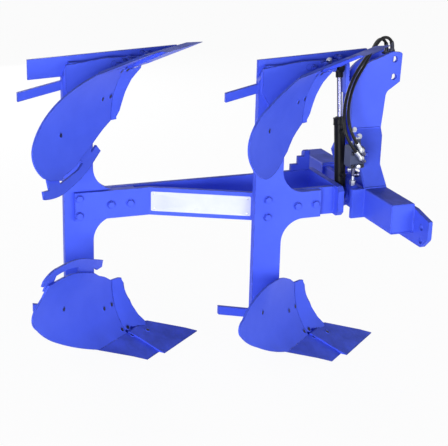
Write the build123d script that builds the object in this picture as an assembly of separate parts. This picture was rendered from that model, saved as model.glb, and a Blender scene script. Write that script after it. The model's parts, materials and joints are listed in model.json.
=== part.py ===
"""Two-furrow reversible mouldboard plough, mounted type, turned over by a hydraulic cylinder.

Everything is drawn in the beam's frame, in millimetres: X runs forward along the beam from the
rear leg's datum, Y to the left from the turnover axis, Z up from the turnover axis. The lower
bodies throw to the right. The upper ones are drawn in the same way and mirrored in the plane
Z = 0; their boards are cut a little shorter at the tail and fuller at the crown. At the end the whole plough is set down as it parks, on the points and wings of its lower shares, with
the middle of its plan at X = Y = 0 and the ground at Z = 0.
"""
from build123d import *
from math import atan2, cos, degrees, hypot, pi, radians, sin, sqrt, tan
import os

os.makedirs("parts", exist_ok=True)

# ---------------------------------------------------------------- driving dimensions
BODY_SPACING = 714.0        # from one leg to the next along the beam
CUT_STEP = 251.0            # each body stands this far to the land side of the one before
SOLE_DROP = 622.0           # turnover axis down to the level that a body is drawn from
FRONT_LEG_Y = -141.0        # middle of the front leg's thickness
REAR_LEG_Y = FRONT_LEG_Y + CUT_STEP

# legs: a cross-shaped plate with an arm up, an arm down and an arm forward
LEG_T = 30.0
LEG_REAR = -55.0            # rear edge, behind the datum
LEG_FRONT = 64.0
LEG_ARM_HALF = 56.0
LEG_ARM_END = 236.0
LEG_FILLET = 96.0
LEG_FOOT = 44.0             # the foot ends this far above the body's level

# beam: two upright plates that spread forward to the turning head
PLATE_T = 20.0
BEAM_HALF = 58.0
BEAM_REAR = -16.0
BEND_REAR = 292.0           # the near plate leaves the rear leg's line here
BEND_FRONT = 690.0          # and reaches the front leg's line here
HEAD_REAR = 1024.0          # turning head, a plate across the beam
HEAD_T = 26.0
HEAD_HALF_W = 165.0
HEAD_HALF_H = 62.0
HEAD_CHAMFER = 18.0

# working surface of a body: a share at a set angle and a mouldboard rolled to one radius
SHARE_ANGLE = 40.0          # cutting edge to the line of travel, degrees
SHARE_REACH = 288.0         # share's face at the body's level, from the datum, square to the edge
SHARE_EDGE = -6.0           # the cutting edge lies this much lower
WING_T = 58.0               # along the edge: where the cutting edge ends at the wing
SHARE_TOP = 62.0            # height of the joint between share and mouldboard
SHARE_TOP_REACH = 165.0     # and its distance from the datum
MOULD_R = 312.4
MOULD_UPRIGHT = 260.7       # height at which the mouldboard stands upright
MOULD_FACE = 93.6           # and its distance there from the datum
MOULD_T = 8.0
SHARE_T = 10.0
NOSE_PROUD = 12.0           # the nose stands this far proud of the share
SHIN_T = 110.0              # along the edge: joint between mouldboard and shin
SHIN_TURN = 0.25            # the shin turns this much forward for each unit along the edge
NOTCH_Z = 284.0             # height of the notch where shin and mouldboard meet at the top
JOINT_GAP = 0.4
LAND_FACE = 27.0            # land side of the body, left of the leg's middle

# landside, frog and heel bar
LANDSIDE_T = 12.0
LANDSIDE_H = 78.0
LANDSIDE_RISE = 3.0         # degrees that the bar rises toward its heel
LANDSIDE_TOE_X = 351.0      # its lower edge passes this point, near the front
LANDSIDE_TOE_Z = 4.0
LANDSIDE_HEELS = {"rear_lower": -60.0, "rear_upper": -182.0, "front_lower": -50.0, "front_upper": -50.0}
FROG_T = 12.0
FROG_BACK = 10.0
HEEL_BAR_T = 16.0
HEEL_BAR_H = 35.0
HEEL_BAR_ENDS = {"rear_lower": -188.0, "rear_upper": -228.0, "front_lower": -196.0, "front_upper": -188.0}
HEEL_BAR_DROPS = {"lower": 412.0, "upper": 452.0}   # turnover axis to the middle of its end
HEEL_BAR_SLOPE = 12.5

# turnover shaft, crank and cylinder, all in one plane across the plough
SHAFT_R = 42.0
FIT = 0.05                  # radial running clearance
CRANK_R = 72.0
CRANK_PIN_R = 12.0
CRANK_LUG_T = 15.5
CRANK_LUG_R = 22.0
EYE_W = 24.0
EYE_GAP = 0.5
ROD_PIN_Z = 526.0           # the rod's upper pin above the turnover axis
BARREL_R = 23.0
BARREL_TOP = 322.0          # along the cylinder from the crank pin
BARREL_FOOT = 40.0
GLAND_R = 25.5
GLAND_L = 26.0
BORE_END = 118.0
ROD_R = 10.0
ROD_TAIL = 205.0
ROD_STROKE = 77.0
ROD_EYE_R = 25.0
ROD_PIN_R = 12.5
PIN_REACH = 7.0             # the rod's pin stands this far out toward its bracket

# headstock
HOUSING_GAP = 5.0           # from the crank's front lug to the fixed housing
HOUSING_R = 66.0
HOUSING_PROUD = 15.0        # the housing starts this far behind the cross beam's rear face
BOX_W = 104.0
CHEEK_BEHIND = {"left": 12.0, "right": 56.0}     # cheeks, behind the cross beam
BOX_TOP = 58.0              # cross beam and cheeks, above the turnover axis
BOX_FOOT = -64.0
BOX_REACH = 424.0           # end of the cross beam from the turnover axis
CHEEK_Y = 195.0             # outer face of a tower plate at its foot
TOWER_Y = 43.0              # and at its top
TOWER_T = 16.0
FLARE_LOW = 60.0            # the plates lean inward between these heights
FLARE_HIGH = 270.0
FLARE_CUT = 52.0            # the left plate's foot is cut back by this much at the rear
WEB_AHEAD = 54.0            # stiffener and rod bracket, ahead of the cross beam's rear face
STOP_STEPS = [(84.0, 86.0), (52.0, 119.0), (24.0, 143.0)]   # from the head back, and their heights
TOP_LINK_R = 13.0
TOP_LINK_AHEAD = 80.0       # top-link holes, ahead of the cross beam's front face
TOP_LINK_ZS = (554.0, 481.0)
HITCH_T = 18.0
HITCH_INNER = 312.0
HITCH_OUTER = 538.0
HITCH_HOLE_R = 12.5
HITCH_HOLE_IN = 52.0        # holes, inward from the plate's outer end
HITCH_HOLE_ZS = (-24.0, -79.0)
HOSE_D = 13.0

# ---------------------------------------------------------------- derived places
HEAD_FRONT = HEAD_REAR + HEAD_T
EYE_REAR = HEAD_FRONT + CRANK_LUG_T + EYE_GAP
CYL_X = EYE_REAR + EYE_W / 2
LUG2_REAR = EYE_REAR + EYE_W + EYE_GAP
HOUSING_REAR = LUG2_REAR + CRANK_LUG_T + HOUSING_GAP
BOX_REAR = HOUSING_REAR + HOUSING_PROUD
BOX_FRONT = BOX_REAR + BOX_W
TOP_LINK_X = BOX_FRONT + TOP_LINK_AHEAD
HITCH_HOLE_Y = HITCH_OUTER - HITCH_HOLE_IN
CYL_L = hypot(CRANK_R, ROD_PIN_Z)
CYL_LEAN = degrees(atan2(CRANK_R, ROD_PIN_Z))

# body frame: S is square to the cutting edge, forward and right; T runs along the edge, forward
S_DIR = Vector(sin(radians(SHARE_ANGLE)), -cos(radians(SHARE_ANGLE)), 0)
T_DIR = Vector(cos(radians(SHARE_ANGLE)), sin(radians(SHARE_ANGLE)), 0)
MOULD_CENTRE = MOULD_FACE + MOULD_R
T_NEAR, T_FAR = 470.0, -500.0
TOP_FACE = 470.0            # higher than any mouldboard


def face_s(height, back=0.0):
    """Distance S of the rolled face at a height, or of a surface that lies behind it."""
    return MOULD_CENTRE - sqrt((MOULD_R + back) ** 2 - (height - MOULD_UPRIGHT) ** 2)


SHARE_RUN = SHARE_REACH - SHARE_TOP_REACH
SHARE_LINE = hypot(SHARE_RUN, SHARE_TOP)
SHARE_UP = (SHARE_TOP / SHARE_LINE, SHARE_RUN / SHARE_LINE)     # unit normal of the share's face


def share_point(height, offset=0.0):
    """A point of the share's face, moved square to it."""
    s = SHARE_REACH - SHARE_RUN * height / SHARE_TOP
    return (s + SHARE_UP[0] * offset, height + SHARE_UP[1] * offset)


def swept(face, start=T_NEAR, end=T_FAR, turn=0.0):
    """A profile in S and height, run along the body; turn leads it forward as it goes."""
    plane = Plane(origin=tuple(T_DIR * start), x_dir=tuple(S_DIR), z_dir=tuple(-T_DIR))
    if turn:
        return extrude(plane * face, abs(end - start), dir=tuple((T_DIR + S_DIR * turn)))
    return extrude(plane * face, start - end)


def side_prism(face):
    """An outline in T and height, as a prism square to the cutting edge."""
    plane = Plane(origin=(0, 0, 0), x_dir=tuple(T_DIR), z_dir=tuple(S_DIR))
    return extrude(plane * face, SHARE_REACH + 100)


def land_prism(points):
    """An outline in X and height, as a prism straight across the body."""
    return Pos(0, 500, 0) * extrude(Plane.XZ * make_face(Polyline(*points, close=True)), 1000)


def land_block(limit=LAND_FACE):
    """Everything to the right of the body's land side."""
    return Pos(0, limit - 500, 240) * Box(1500, 1000, 900)


def mould_profile(front, back, low=SHARE_TOP, high=TOP_FACE):
    """Section of the rolled plate between two depths behind the working face."""
    mid = (low + high) / 2
    outer = ThreePointArc((face_s(low, front), low), (face_s(mid, front), mid), (face_s(high, front), high))
    inner = ThreePointArc((face_s(high, back), high), (face_s(mid, back), mid), (face_s(low, back), low))
    return make_face(outer + inner + Line(outer @ 1, inner @ 0) + Line(inner @ 1, outer @ 0))


def share_slab(front, back, low=SHARE_EDGE, high=SHARE_TOP):
    """The flat share between two depths, from the cutting edge up to its joint."""
    corners = [share_point(low - 30, front), share_point(high, front), share_point(high, -back), share_point(low - 30, -back)]
    slab = swept(make_face(Polyline(*corners, close=True)))
    return slab & (Pos(0, 0, 500 + SHARE_EDGE) * Box(3000, 3000, 1000))


def space_in_front():
    """All that lies in front of the backs of share and mouldboard, to trim what carries them."""
    low, high = SHARE_TOP, TOP_FACE
    mid = (low + high) / 2
    arc = ThreePointArc((face_s(high, MOULD_T), high), (face_s(mid, MOULD_T), mid), (face_s(low, MOULD_T), low))
    wire = arc + Polyline(arc @ 1, share_point(SHARE_TOP, -SHARE_T), share_point(-60, -SHARE_T), (700, -60),
                          (700, high), arc @ 0)
    return swept(make_face(wire))


# ---------------------------------------------------------------- one body, lower and right-hand
MOULD_OUTLINES = {
    # outline in T and height, from the share's joint round the tail to the crown: lines and arcs
    "rear_lower": [
        ("arc", (-93, 64), (-194, 104), (-300, 160)), ("arc", (-300, 160), (-352, 198), (-396, 244)),
        ("arc", (-396, 244), (-424, 290), (-415, 336)), ("line", (-415, 336), (-388, 380)),
        ("line", (-388, 380), (-382, 432)), ("arc", (-382, 432), (-282, 437), (-160, 411)),
        ("line", (-160, 411), (-44, 368)), ("line", (-44, 368), (2, 339)), ("line", (2, 339), (49, 318))],
    "rear_upper": [
        ("arc", (-93, 64), (-180, 92), (-263, 136)), ("arc", (-263, 136), (-344, 210), (-392, 282)),
        ("arc", (-392, 282), (-402, 340), (-372, 401)), ("line", (-372, 401), (-348, 414)),
        ("line", (-348, 414), (-286, 427)), ("line", (-286, 427), (-268, 415)),
        ("arc", (-268, 415), (-204, 404), (-135, 383)), ("line", (-135, 383), (-45, 349)), ("line", (-45, 349), (49, 306))],
    "front_lower": [
        ("arc", (-93, 64), (-184, 95), (-262, 136)), ("arc", (-262, 136), (-322, 174), (-362, 214)),
        ("arc", (-362, 214), (-374, 242), (-346, 276)), ("arc", (-346, 276), (-280, 334), (-200, 366)),
        ("arc", (-200, 366), (-90, 364), (2, 339)), ("line", (2, 339), (49, 318))],
    "front_upper": [
        ("arc", (-93, 64), (-168, 114), (-246, 161)), ("arc", (-246, 161), (-298, 200), (-331, 248)),
        ("arc", (-331, 248), (-347, 304), (-335, 362)), ("arc", (-335, 362), (-306, 400), (-247, 415)),
        ("arc", (-247, 415), (-174, 404), (-104, 379)), ("line", (-104, 379), (-54, 361)),
        ("line", (-54, 361), (14, 322)), ("line", (14, 322), (49, 306))],
}
SHIN_LEADS = {
    "lower": [(191, 274), (206, 246), (220, 200), (237, 152), (264, 106), (290, 78)],
    "upper": [(168, 274), (184, 252), (196, 214), (207, 178), (230, 126), (264, 82)],
}
NOSE_TOP = [(256, 94), (430, 36), (488, 10), (530, -6)]


def outline_wire(steps, close_with):
    wire = None
    for kind, *points in steps:
        piece = ThreePointArc(*points) if kind == "arc" else Line(*points)
        wire = piece if wire is None else wire + piece
    return wire + Polyline(*close_with)


def mouldboard(body):
    """The rolled plate that turns the furrow, cut to its outline."""
    steps = MOULD_OUTLINES[body]
    wire = outline_wire(steps, [steps[-1][-1], (SHIN_T - 6, NOTCH_Z), (SHIN_T, SHARE_TOP - 2), (-93, SHARE_TOP - 2), steps[0][1]])
    return swept(mould_profile(0, MOULD_T)) & side_prism(make_face(wire))


def shin(side):
    """The wearing strip down the land side of the mouldboard, turned a little forward."""
    profile = mould_profile(0, MOULD_T, low=SHARE_TOP - 10, high=NOTCH_Z + 20)
    strip = extrude(Plane(origin=tuple(T_DIR * SHIN_T), x_dir=tuple(S_DIR), z_dir=tuple(-T_DIR)) * profile, 200,
                    dir=tuple(T_DIR + S_DIR * SHIN_TURN))
    cut = Polyline((SHIN_T + JOINT_GAP, 40), (SHIN_T - 6 + JOINT_GAP, NOTCH_Z), (SHIN_T + 36, NOTCH_Z),
                   (SHIN_T + 50, NOTCH_Z - 4), (SHIN_T + 62, NOTCH_Z - 14), (400, NOTCH_Z - 14), (400, 40), close=True)
    strip &= side_prism(make_face(cut))
    strip &= land_block()
    lead = SHIN_LEADS[side]
    strip &= land_prism([(-200, 400), (lead[0][0], 400)] + lead + [(lead[-1][0], 0), (-200, 0)])
    return strip - share_slab(NOSE_PROUD + JOINT_GAP, 60, high=SHARE_TOP + 6)


def share():
    """Share blade with its nose: the blade runs out to the wing, the nose stands proud."""
    blade_wire = Polyline((SHIN_T + 14, SHARE_TOP), (SHIN_T + 48, -30), (WING_T, -30), (WING_T, SHARE_EDGE),
                          (WING_T - 44, SHARE_EDGE + 22), (-93, SHARE_TOP), close=True)
    blade = share_slab(0, SHARE_T) & side_prism(make_face(blade_wire)) & land_block()
    nose_wire = Polyline((SHIN_T + 2, SHARE_TOP + 8), (SHIN_T + 14, SHARE_TOP - 8), (SHIN_T + 48, -30),
                         (T_NEAR, -30), (T_NEAR, SHARE_TOP + 8), close=True)
    nose = share_slab(NOSE_PROUD, SHARE_T) & side_prism(make_face(nose_wire)) & land_block()
    nose &= land_prism([(-200, 94)] + NOSE_TOP + [(530, -60), (-200, -60)])
    return blade + nose


def landside(heel):
    """Flat bar that bears on the furrow wall; its front end fits in behind share and shin."""
    slope = tan(radians(LANDSIDE_RISE))
    toe = 420.0
    low_toe = LANDSIDE_TOE_Z - (toe - LANDSIDE_TOE_X) * slope
    low_heel = LANDSIDE_TOE_Z - (heel - LANDSIDE_TOE_X) * slope
    bar = land_prism([(heel, low_heel), (toe, low_toe), (toe, low_toe + LANDSIDE_H), (heel, low_heel + LANDSIDE_H)])
    bar &= Pos(0, LAND_FACE - LANDSIDE_T / 2, 100) * Box(2000, LANDSIDE_T, 600)
    return bar - space_in_front()


def frog():
    """Seat that carries share, mouldboard and landside on the leg's right face."""
    web_face = make_face(
        Polyline((LEG_REAR + 12, 52), (LEG_REAR + 12, 150), (10, 235), (260, 235), (330, 30), (120, 30), close=True))
    web = Pos(0, -LEG_T / 2, 0) * extrude(Plane.XZ * web_face, FROG_T)
    web -= space_in_front()
    pad_wire = Polyline((-60, 76), (100, 76), (100, 215), (-60, 215), close=True)
    pad = swept(mould_profile(MOULD_T, MOULD_T + FROG_BACK, low=66)) & side_prism(make_face(pad_wire))
    pad &= land_block(-LEG_T / 2)
    return web + pad


def heel_bar(end_x, drop):
    """Bar that runs back from the leg's rear edge, rising a little."""
    slope = tan(radians(HEEL_BAR_SLOPE))
    half = HEEL_BAR_H / 2 / cos(radians(HEEL_BAR_SLOPE))

    def middle(x):
        return SOLE_DROP - drop - (x - min(HEEL_BAR_ENDS.values())) * slope

    pts = [(end_x, middle(end_x) - half), (LEG_REAR, middle(LEG_REAR) - half),
           (LEG_REAR, middle(LEG_REAR) + half), (end_x, middle(end_x) + half)]
    return Pos(0, HEEL_BAR_T / 2, 0) * extrude(Plane.XZ * make_face(Polyline(*pts, close=True)), HEEL_BAR_T)


STRAP_BEND = 400.0          # above this height the strap runs on straight
STRAP_OUTLINES = {
    "rear_lower": [
        ("line", (-384, 404), (-388, 430)), ("line", (-388, 430), (-412, 435)), ("line", (-412, 435), (-417, 460)),
        ("arc", (-417, 460), (-396, 486), (-350, 498)), ("arc", (-350, 498), (-240, 494), (-146, 468)),
        ("line", (-146, 468), (4, 410)), ("line", (4, 410), (20, 373)), ("line", (20, 373), (-14, 369)),
        ("line", (-14, 369), (-45, 392)), ("line", (-45, 392), (-60, 350)), ("line", (-60, 350), (-158, 378)),
        ("line", (-158, 378), (-163, 410)), ("line", (-163, 410), (-176, 438)),
        ("arc", (-176, 438), (-262, 461), (-340, 459)), ("line", (-340, 459), (-338, 408))],
    "rear_upper": [
        ("line", (-347, 392), (-362, 445)), ("line", (-362, 445), (-398, 442)), ("line", (-398, 442), (-408, 468)),
        ("arc", (-408, 468), (-334, 476), (-259, 468)), ("line", (-259, 468), (-169, 450)),
        ("line", (-169, 450), (-88, 424)), ("line", (-88, 424), (10, 384)), ("line", (10, 384), (-6, 359)),
        ("line", (-6, 359), (-47, 378)), ("line", (-47, 378), (-60, 335)), ("line", (-60, 335), (-140, 360)),
        ("line", (-140, 360), (-121, 402)), ("line", (-121, 402), (-161, 418)),
        ("line", (-161, 418), (-292, 440)), ("line", (-292, 440), (-288, 396))],
}


def extension(body):
    """Strap that carries the furrow on above the mouldboard's top edge, with a slot under it."""
    front = (face_s(STRAP_BEND, MOULD_T), STRAP_BEND)
    slope = (STRAP_BEND - MOULD_UPRIGHT) / (MOULD_CENTRE - front[0])
    thick = MOULD_T / cos(radians(degrees(atan2(slope, 1))))
    straight = make_face(Polyline(front, (front[0] + slope * 130, STRAP_BEND + 130),
                                  (front[0] + slope * 130 - thick, STRAP_BEND + 130), (front[0] - thick, STRAP_BEND), close=True))
    strap = swept(mould_profile(MOULD_T, 2 * MOULD_T, low=320, high=STRAP_BEND)) + swept(straight)
    steps = STRAP_OUTLINES[body]
    return strap & side_prism(make_face(outline_wire(steps, [steps[-1][-1], steps[0][1]])))


def lower_place(leg_x, leg_y):
    """From a body's own frame, with its sole at Z = 0, to its place under the beam."""
    return Pos(leg_x, leg_y, -SOLE_DROP)


# ---------------------------------------------------------------- legs and beam
def leg():
    """Cross-shaped plate: one half is drawn, then mirrored about the axis plane."""
    foot = SOLE_DROP - LEG_FOOT
    half = Polyline(
        (LEG_REAR, 0), (LEG_REAR, foot - 60), (LEG_REAR + 30, foot), (LEG_FRONT, foot), (LEG_FRONT, LEG_ARM_HALF),
        (LEG_ARM_END, LEG_ARM_HALF), (LEG_ARM_END, 0), close=True)
    face = make_face(half)
    face += mirror(face, Plane.XZ)
    inner = face.vertices().filter_by(lambda v: abs(v.X - LEG_FRONT) < 1e-6 and abs(abs(v.Y) - LEG_ARM_HALF) < 1e-6)
    face = fillet(inner, LEG_FILLET)
    return Pos(0, LEG_T / 2, 0) * extrude(Plane.XZ * face, LEG_T)


def upright(points, z_half):
    """A plate that stands on edge: its plan in X and Y, its height either side of the axis."""
    return Pos(0, 0, -z_half) * extrude(make_face(Polyline(*points, close=True)), 2 * z_half)


def near_plate():
    rear_y = REAR_LEG_Y - LEG_T / 2 - PLATE_T
    front_y = FRONT_LEG_Y + LEG_T / 2
    line = [(BEAM_REAR, rear_y), (BEND_REAR, rear_y), (BEND_FRONT, front_y), (HEAD_REAR, front_y)]
    back = [(x, y + PLATE_T) for x, y in reversed(line)]
    return upright(line + back, BEAM_HALF)


def far_plate():
    y = REAR_LEG_Y + LEG_T / 2
    return upright([(BEAM_REAR, y), (HEAD_REAR, y), (HEAD_REAR, y + PLATE_T), (BEAM_REAR, y + PLATE_T)], BEAM_HALF)


def beam_stop():
    """Stepped plate on the far beam plate, against the back of the turning head."""
    y = REAR_LEG_Y + LEG_T / 2
    outline = [(HEAD_REAR, BEAM_HALF)]
    height = BEAM_HALF
    for back, step in STOP_STEPS:
        outline += [(HEAD_REAR - back, height), (HEAD_REAR - back, step)]
        height = step
    outline.append((HEAD_REAR, height))
    face = make_face(Polyline(*outline, close=True))
    return Pos(0, y + PLATE_T, 0) * extrude(Plane.XZ * face, PLATE_T)


def across(face, x, thickness):
    """A face drawn in Y and Z, thickened forward from a station X."""
    return extrude(Plane(origin=(x, 0, 0), x_dir=(0, 1, 0), z_dir=(1, 0, 0)) * face, thickness)


def turning_head():
    """Plate across the front of the beam that the turnover shaft is welded to."""
    face = chamfer(Rectangle(2 * HEAD_HALF_W, 2 * HEAD_HALF_H).vertices(), HEAD_CHAMFER)
    return across(face, HEAD_REAR, HEAD_T)


def turnover_shaft():
    """Shaft with its crank lugs, crank pin and the collar that keeps it in the housing."""
    end = BOX_FRONT + 2
    lug = make_hull((Circle(SHAFT_R) + Pos(-CRANK_R, 0) * Circle(CRANK_LUG_R)).edges())
    shaft = across(Circle(SHAFT_R), HEAD_FRONT, end + 12 - HEAD_FRONT)
    shaft += across(lug, HEAD_FRONT, CRANK_LUG_T)
    shaft += across(lug, LUG2_REAR, CRANK_LUG_T)
    shaft += across(Pos(-CRANK_R, 0) * Circle(CRANK_PIN_R), HEAD_FRONT, LUG2_REAR + CRANK_LUG_T - HEAD_FRONT)
    shaft += across(Circle(HOUSING_R - 8), end, 12)
    return shaft


# ---------------------------------------------------------------- cylinder
def along_cylinder():
    """Place whose Z runs from the crank pin up to the rod's pin, and whose X is the plough's X."""
    return Pos(CYL_X, -CRANK_R, 0) * Rot(-CYL_LEAN, 0, 0)


def x_cylinder(radius, width, start):
    return Pos(start, 0, 0) * Rot(0, 90, 0) * Cylinder(radius, width, align=(Align.CENTER, Align.CENTER, Align.MIN))


def cylinder_barrel():
    eye = x_cylinder(CRANK_LUG_R, EYE_W, -EYE_W / 2) + Pos(0, 0, BARREL_FOOT / 2) * Box(EYE_W, 34, BARREL_FOOT)
    tube = Pos(0, 0, BARREL_FOOT) * Cylinder(BARREL_R, BARREL_TOP - BARREL_FOOT, align=(Align.CENTER, Align.CENTER, Align.MIN))
    gland = Pos(0, 0, BARREL_TOP - GLAND_L) * Cylinder(GLAND_R, GLAND_L, align=(Align.CENTER, Align.CENTER, Align.MIN))
    body = eye + tube + gland
    body -= x_cylinder(CRANK_PIN_R + FIT, EYE_W, -EYE_W / 2)
    body -= Pos(0, 0, BORE_END) * Cylinder(ROD_R + FIT, BARREL_TOP - BORE_END, align=(Align.CENTER, Align.CENTER, Align.MIN))
    return along_cylinder() * body


def cylinder_rod():
    rod = Pos(0, 0, ROD_TAIL) * Cylinder(ROD_R, CYL_L - ROD_EYE_R + 4 - ROD_TAIL, align=(Align.CENTER, Align.CENTER, Align.MIN))
    eye = Pos(0, 0, CYL_L) * x_cylinder(ROD_EYE_R, EYE_W, -EYE_W / 2)
    return along_cylinder() * (rod - eye)


def rod_eye():
    """Eye at the rod's end with its pin; the pin stops just short of the fixed bracket."""
    eye = x_cylinder(ROD_EYE_R, EYE_W, -EYE_W / 2)
    neck = Pos(0, 0, -ROD_EYE_R - 18) * Cylinder(ROD_R + 5, 26, align=(Align.CENTER, Align.CENTER, Align.MIN))
    neck -= Pos(0, 0, -ROD_EYE_R - 18) * Cylinder(ROD_R, 26, align=(Align.CENTER, Align.CENTER, Align.MIN))
    pin = x_cylinder(ROD_PIN_R, EYE_W + PIN_REACH + 8, -EYE_W / 2 - 8)
    return along_cylinder() * Pos(0, 0, CYL_L) * (eye + (neck - eye) + pin)


# ---------------------------------------------------------------- headstock
def tower_outline(side):
    """Side view of a tower plate, from the cross beam up to the top-link holes."""
    rear, front, link = BOX_REAR, BOX_FRONT, TOP_LINK_X
    behind = rear - CHEEK_BEHIND[side]
    cut = FLARE_CUT if side == "left" else 0.0
    edge = (
        Polyline((behind, BOX_TOP), (behind, BOX_FOOT), (front, BOX_FOOT),
                 (front - 4, FLARE_LOW), (front - 9, 140), (front + 32, 240))
        + ThreePointArc((front + 32, 240), (front + 40, 320), (link - 33, 398))
        + ThreePointArc((link - 33, 398), (link - 27, 418), (link - 10, 432))
        + Polyline((link - 10, 432), (link + 30, 460), (link + 34, 570))
        + ThreePointArc((link + 34, 570), (link + 31, 579), (link + 22, 582))
        + Polyline((link + 22, 582), (link - 9, 586), (link - 82, 558))
        + ThreePointArc((link - 82, 558), (rear + 22, 508), (rear - 4, 415))
        + Polyline((rear - 4, 415), (rear, 300), (rear + 3, 140), (rear + 2 + cut, BOX_TOP), (behind, BOX_TOP))
    )
    return make_face(edge)


TOWER_COURSES = {
    # the plate is welded up from three courses: outer face in Y and Z at their two ends
    "cheek": [(CHEEK_Y, BOX_FOOT), (CHEEK_Y, FLARE_LOW)],
    "flare": [(CHEEK_Y, FLARE_LOW), (TOWER_Y, FLARE_HIGH)],
    "head": [(TOWER_Y, FLARE_HIGH), (TOWER_Y, 640.0)],
}


def tower_course(course, side):
    """One course of a tower plate: upright at the foot, leaning in, or upright at the top link."""
    (y_low, z_low), (y_high, z_high) = TOWER_COURSES[course]
    start = BOX_REAR - max(CHEEK_BEHIND.values()) - 10
    strip = across(make_face(Polyline((y_low, z_low), (y_high, z_high), (y_high - TOWER_T, z_high),
                                      (y_low - TOWER_T, z_low), close=True)), start, TOP_LINK_X + 60 - start)
    plate = extrude(Plane.XZ.offset(-CHEEK_Y - 20) * tower_outline(side), CHEEK_Y + 40) & strip
    if course == "head":
        for z in TOP_LINK_ZS:
            plate -= Pos(TOP_LINK_X, 0, z) * Rot(90, 0, 0) * Cylinder(TOP_LINK_R, 200)
    return plate if side == "left" else mirror(plate, Plane.XZ)


def pivot_housing():
    """Tube that the turnover shaft runs in, held between the cheeks by two cross plates."""
    inner = CHEEK_Y - TOWER_T
    length = BOX_FRONT - HOUSING_REAR
    body = across(Circle(HOUSING_R), HOUSING_REAR, length)
    web = Pos(0, (BOX_TOP + BOX_FOOT) / 2) * Rectangle(2 * inner, BOX_TOP - BOX_FOOT - 12)
    body += across(web, HOUSING_REAR + 14, 16)
    body += across(web, BOX_FRONT - 22, 16)
    return body - across(Circle(SHAFT_R + FIT), HOUSING_REAR, length)


def cross_beam(side):
    """One half of the cross beam, closed at its outer end."""
    length = BOX_REACH - CHEEK_Y
    beam = Box(BOX_W, length, BOX_TOP - BOX_FOOT)
    beam = fillet(beam.edges().filter_by(Axis.Y), 8)
    return Pos(BOX_REAR + BOX_W / 2, side * (CHEEK_Y + length / 2), (BOX_TOP + BOX_FOOT) / 2) * beam


def hitch_plate(side):
    """Plate on the cross beam's front face with two holes for the lower-link bracket."""
    face = make_face(Polyline((HITCH_INNER, -106), (HITCH_OUTER - 48, -106), (HITCH_OUTER, -60), (HITCH_OUTER, 14),
                              (HITCH_OUTER - 110, 36), (HITCH_INNER, 36), close=True))
    face = fillet(face.vertices().filter_by(lambda v: v.X > HITCH_OUTER - 60 and v.Y < 0), 22)
    plate = across(face, BOX_FRONT, HITCH_T)
    for z in HITCH_HOLE_ZS:
        plate -= Pos(0, HITCH_HOLE_Y, z) * x_cylinder(HITCH_HOLE_R, HITCH_T, BOX_FRONT)
    if side < 0:
        plate = mirror(plate, Plane.XZ)
    return plate


def tower_web():
    """Stiffener between the leaning stretches of the tower plates."""
    def half_gap(z):
        lean = (CHEEK_Y - TOWER_Y) / (FLARE_HIGH - FLARE_LOW)
        return CHEEK_Y - TOWER_T - lean * (z - FLARE_LOW)
    low, high = FLARE_LOW + 30, FLARE_HIGH - 30
    pts = [(-half_gap(low), low), (half_gap(low), low), (half_gap(high), high), (-half_gap(high), high)]
    return across(make_face(Polyline(*pts, close=True)), BOX_REAR + WEB_AHEAD, 12)


def rod_bracket():
    """Ear for the rod's pin, on a block that is welded in between the tower plates."""
    gap = TOWER_Y - TOWER_T
    ear_face = Pos(0, ROD_PIN_Z) * Circle(gap) + Pos(0, (ROD_PIN_Z + 420) / 2) * Rectangle(2 * gap, ROD_PIN_Z - 420)
    face_x = CYL_X + EYE_W / 2 + PIN_REACH + 0.3
    ear = across(ear_face, face_x, 16)
    block = span_box((face_x, BOX_REAR + WEB_AHEAD), (-gap, gap), (420, 470))
    return ear + block


VALVE = dict(x=(BOX_REAR - 64, BOX_REAR - 1), y=(-178, -122), z=(142, 232))


def span_box(x, y, z):
    return Pos(sum(x) / 2, sum(y) / 2, sum(z) / 2) * Box(x[1] - x[0], y[1] - y[0], z[1] - z[0])


def valve_block():
    block = span_box(**VALVE)
    return chamfer(block.edges().filter_by(Axis.Y), 6)


def valve_bracket():
    """Shelf from the block's back to the outer face of the leaning course."""
    shelf = span_box((BOX_REAR - 46, BOX_REAR + 46), (VALVE["y"][1], -101), (174, 188))
    return shelf - tower_course("flare", "right")


ELBOW_NECK = 24.0           # from an elbow's corner to the hose
ELBOW_DROP = 34.0           # from the block's underside to the lower elbow


def valve_fittings():
    """Elbows that the two hoses leave from, up and back, and the elbow under the block."""
    out = None
    for route in HOSE_ROUTES:
        start = Vector(*route[0])
        heading = (Vector(*route[1]) - start).normalized()
        corner = start - heading * ELBOW_NECK
        reach = VALVE["y"][0] - corner.Y
        elbow = Pos(*corner) * Rot(-90, 0, 0) * Cylinder(9, reach, align=(Align.CENTER, Align.CENTER, Align.MIN))
        elbow += Pos(*corner) * Sphere(9)
        elbow += Plane(origin=corner, z_dir=heading) * Cylinder(9, ELBOW_NECK, align=(Align.CENTER, Align.CENTER, Align.MIN))
        out = elbow if out is None else out + elbow
    x, y, z = BOX_REAR - 34, (VALVE["y"][0] + VALVE["y"][1]) / 2, VALVE["z"][0] - ELBOW_DROP
    drop = Pos(x, y, z) * Cylinder(8, ELBOW_DROP, align=(Align.CENTER, Align.CENTER, Align.MIN))
    drop += Pos(x, y, z) * Sphere(8)
    nut = Pos(0, y, z) * (x_cylinder(8, 22, x) + x_cylinder(12, 10, x + 12))
    return out + drop + nut


def couplers():
    """Two hose couplers that stand on a block between the tower plates' tops."""
    gap = TOWER_Y - TOWER_T
    low, high = 568.0, 573.0
    out = span_box((TOP_LINK_X - 26, TOP_LINK_X + 18), (-gap, gap), (low, high))
    for x, y, z in (route[-1] for route in HOSE_ROUTES):
        out += Pos(x, y, low) * Cylinder(10, z - low, align=(Align.CENTER, Align.CENTER, Align.MIN))
    return out


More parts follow.
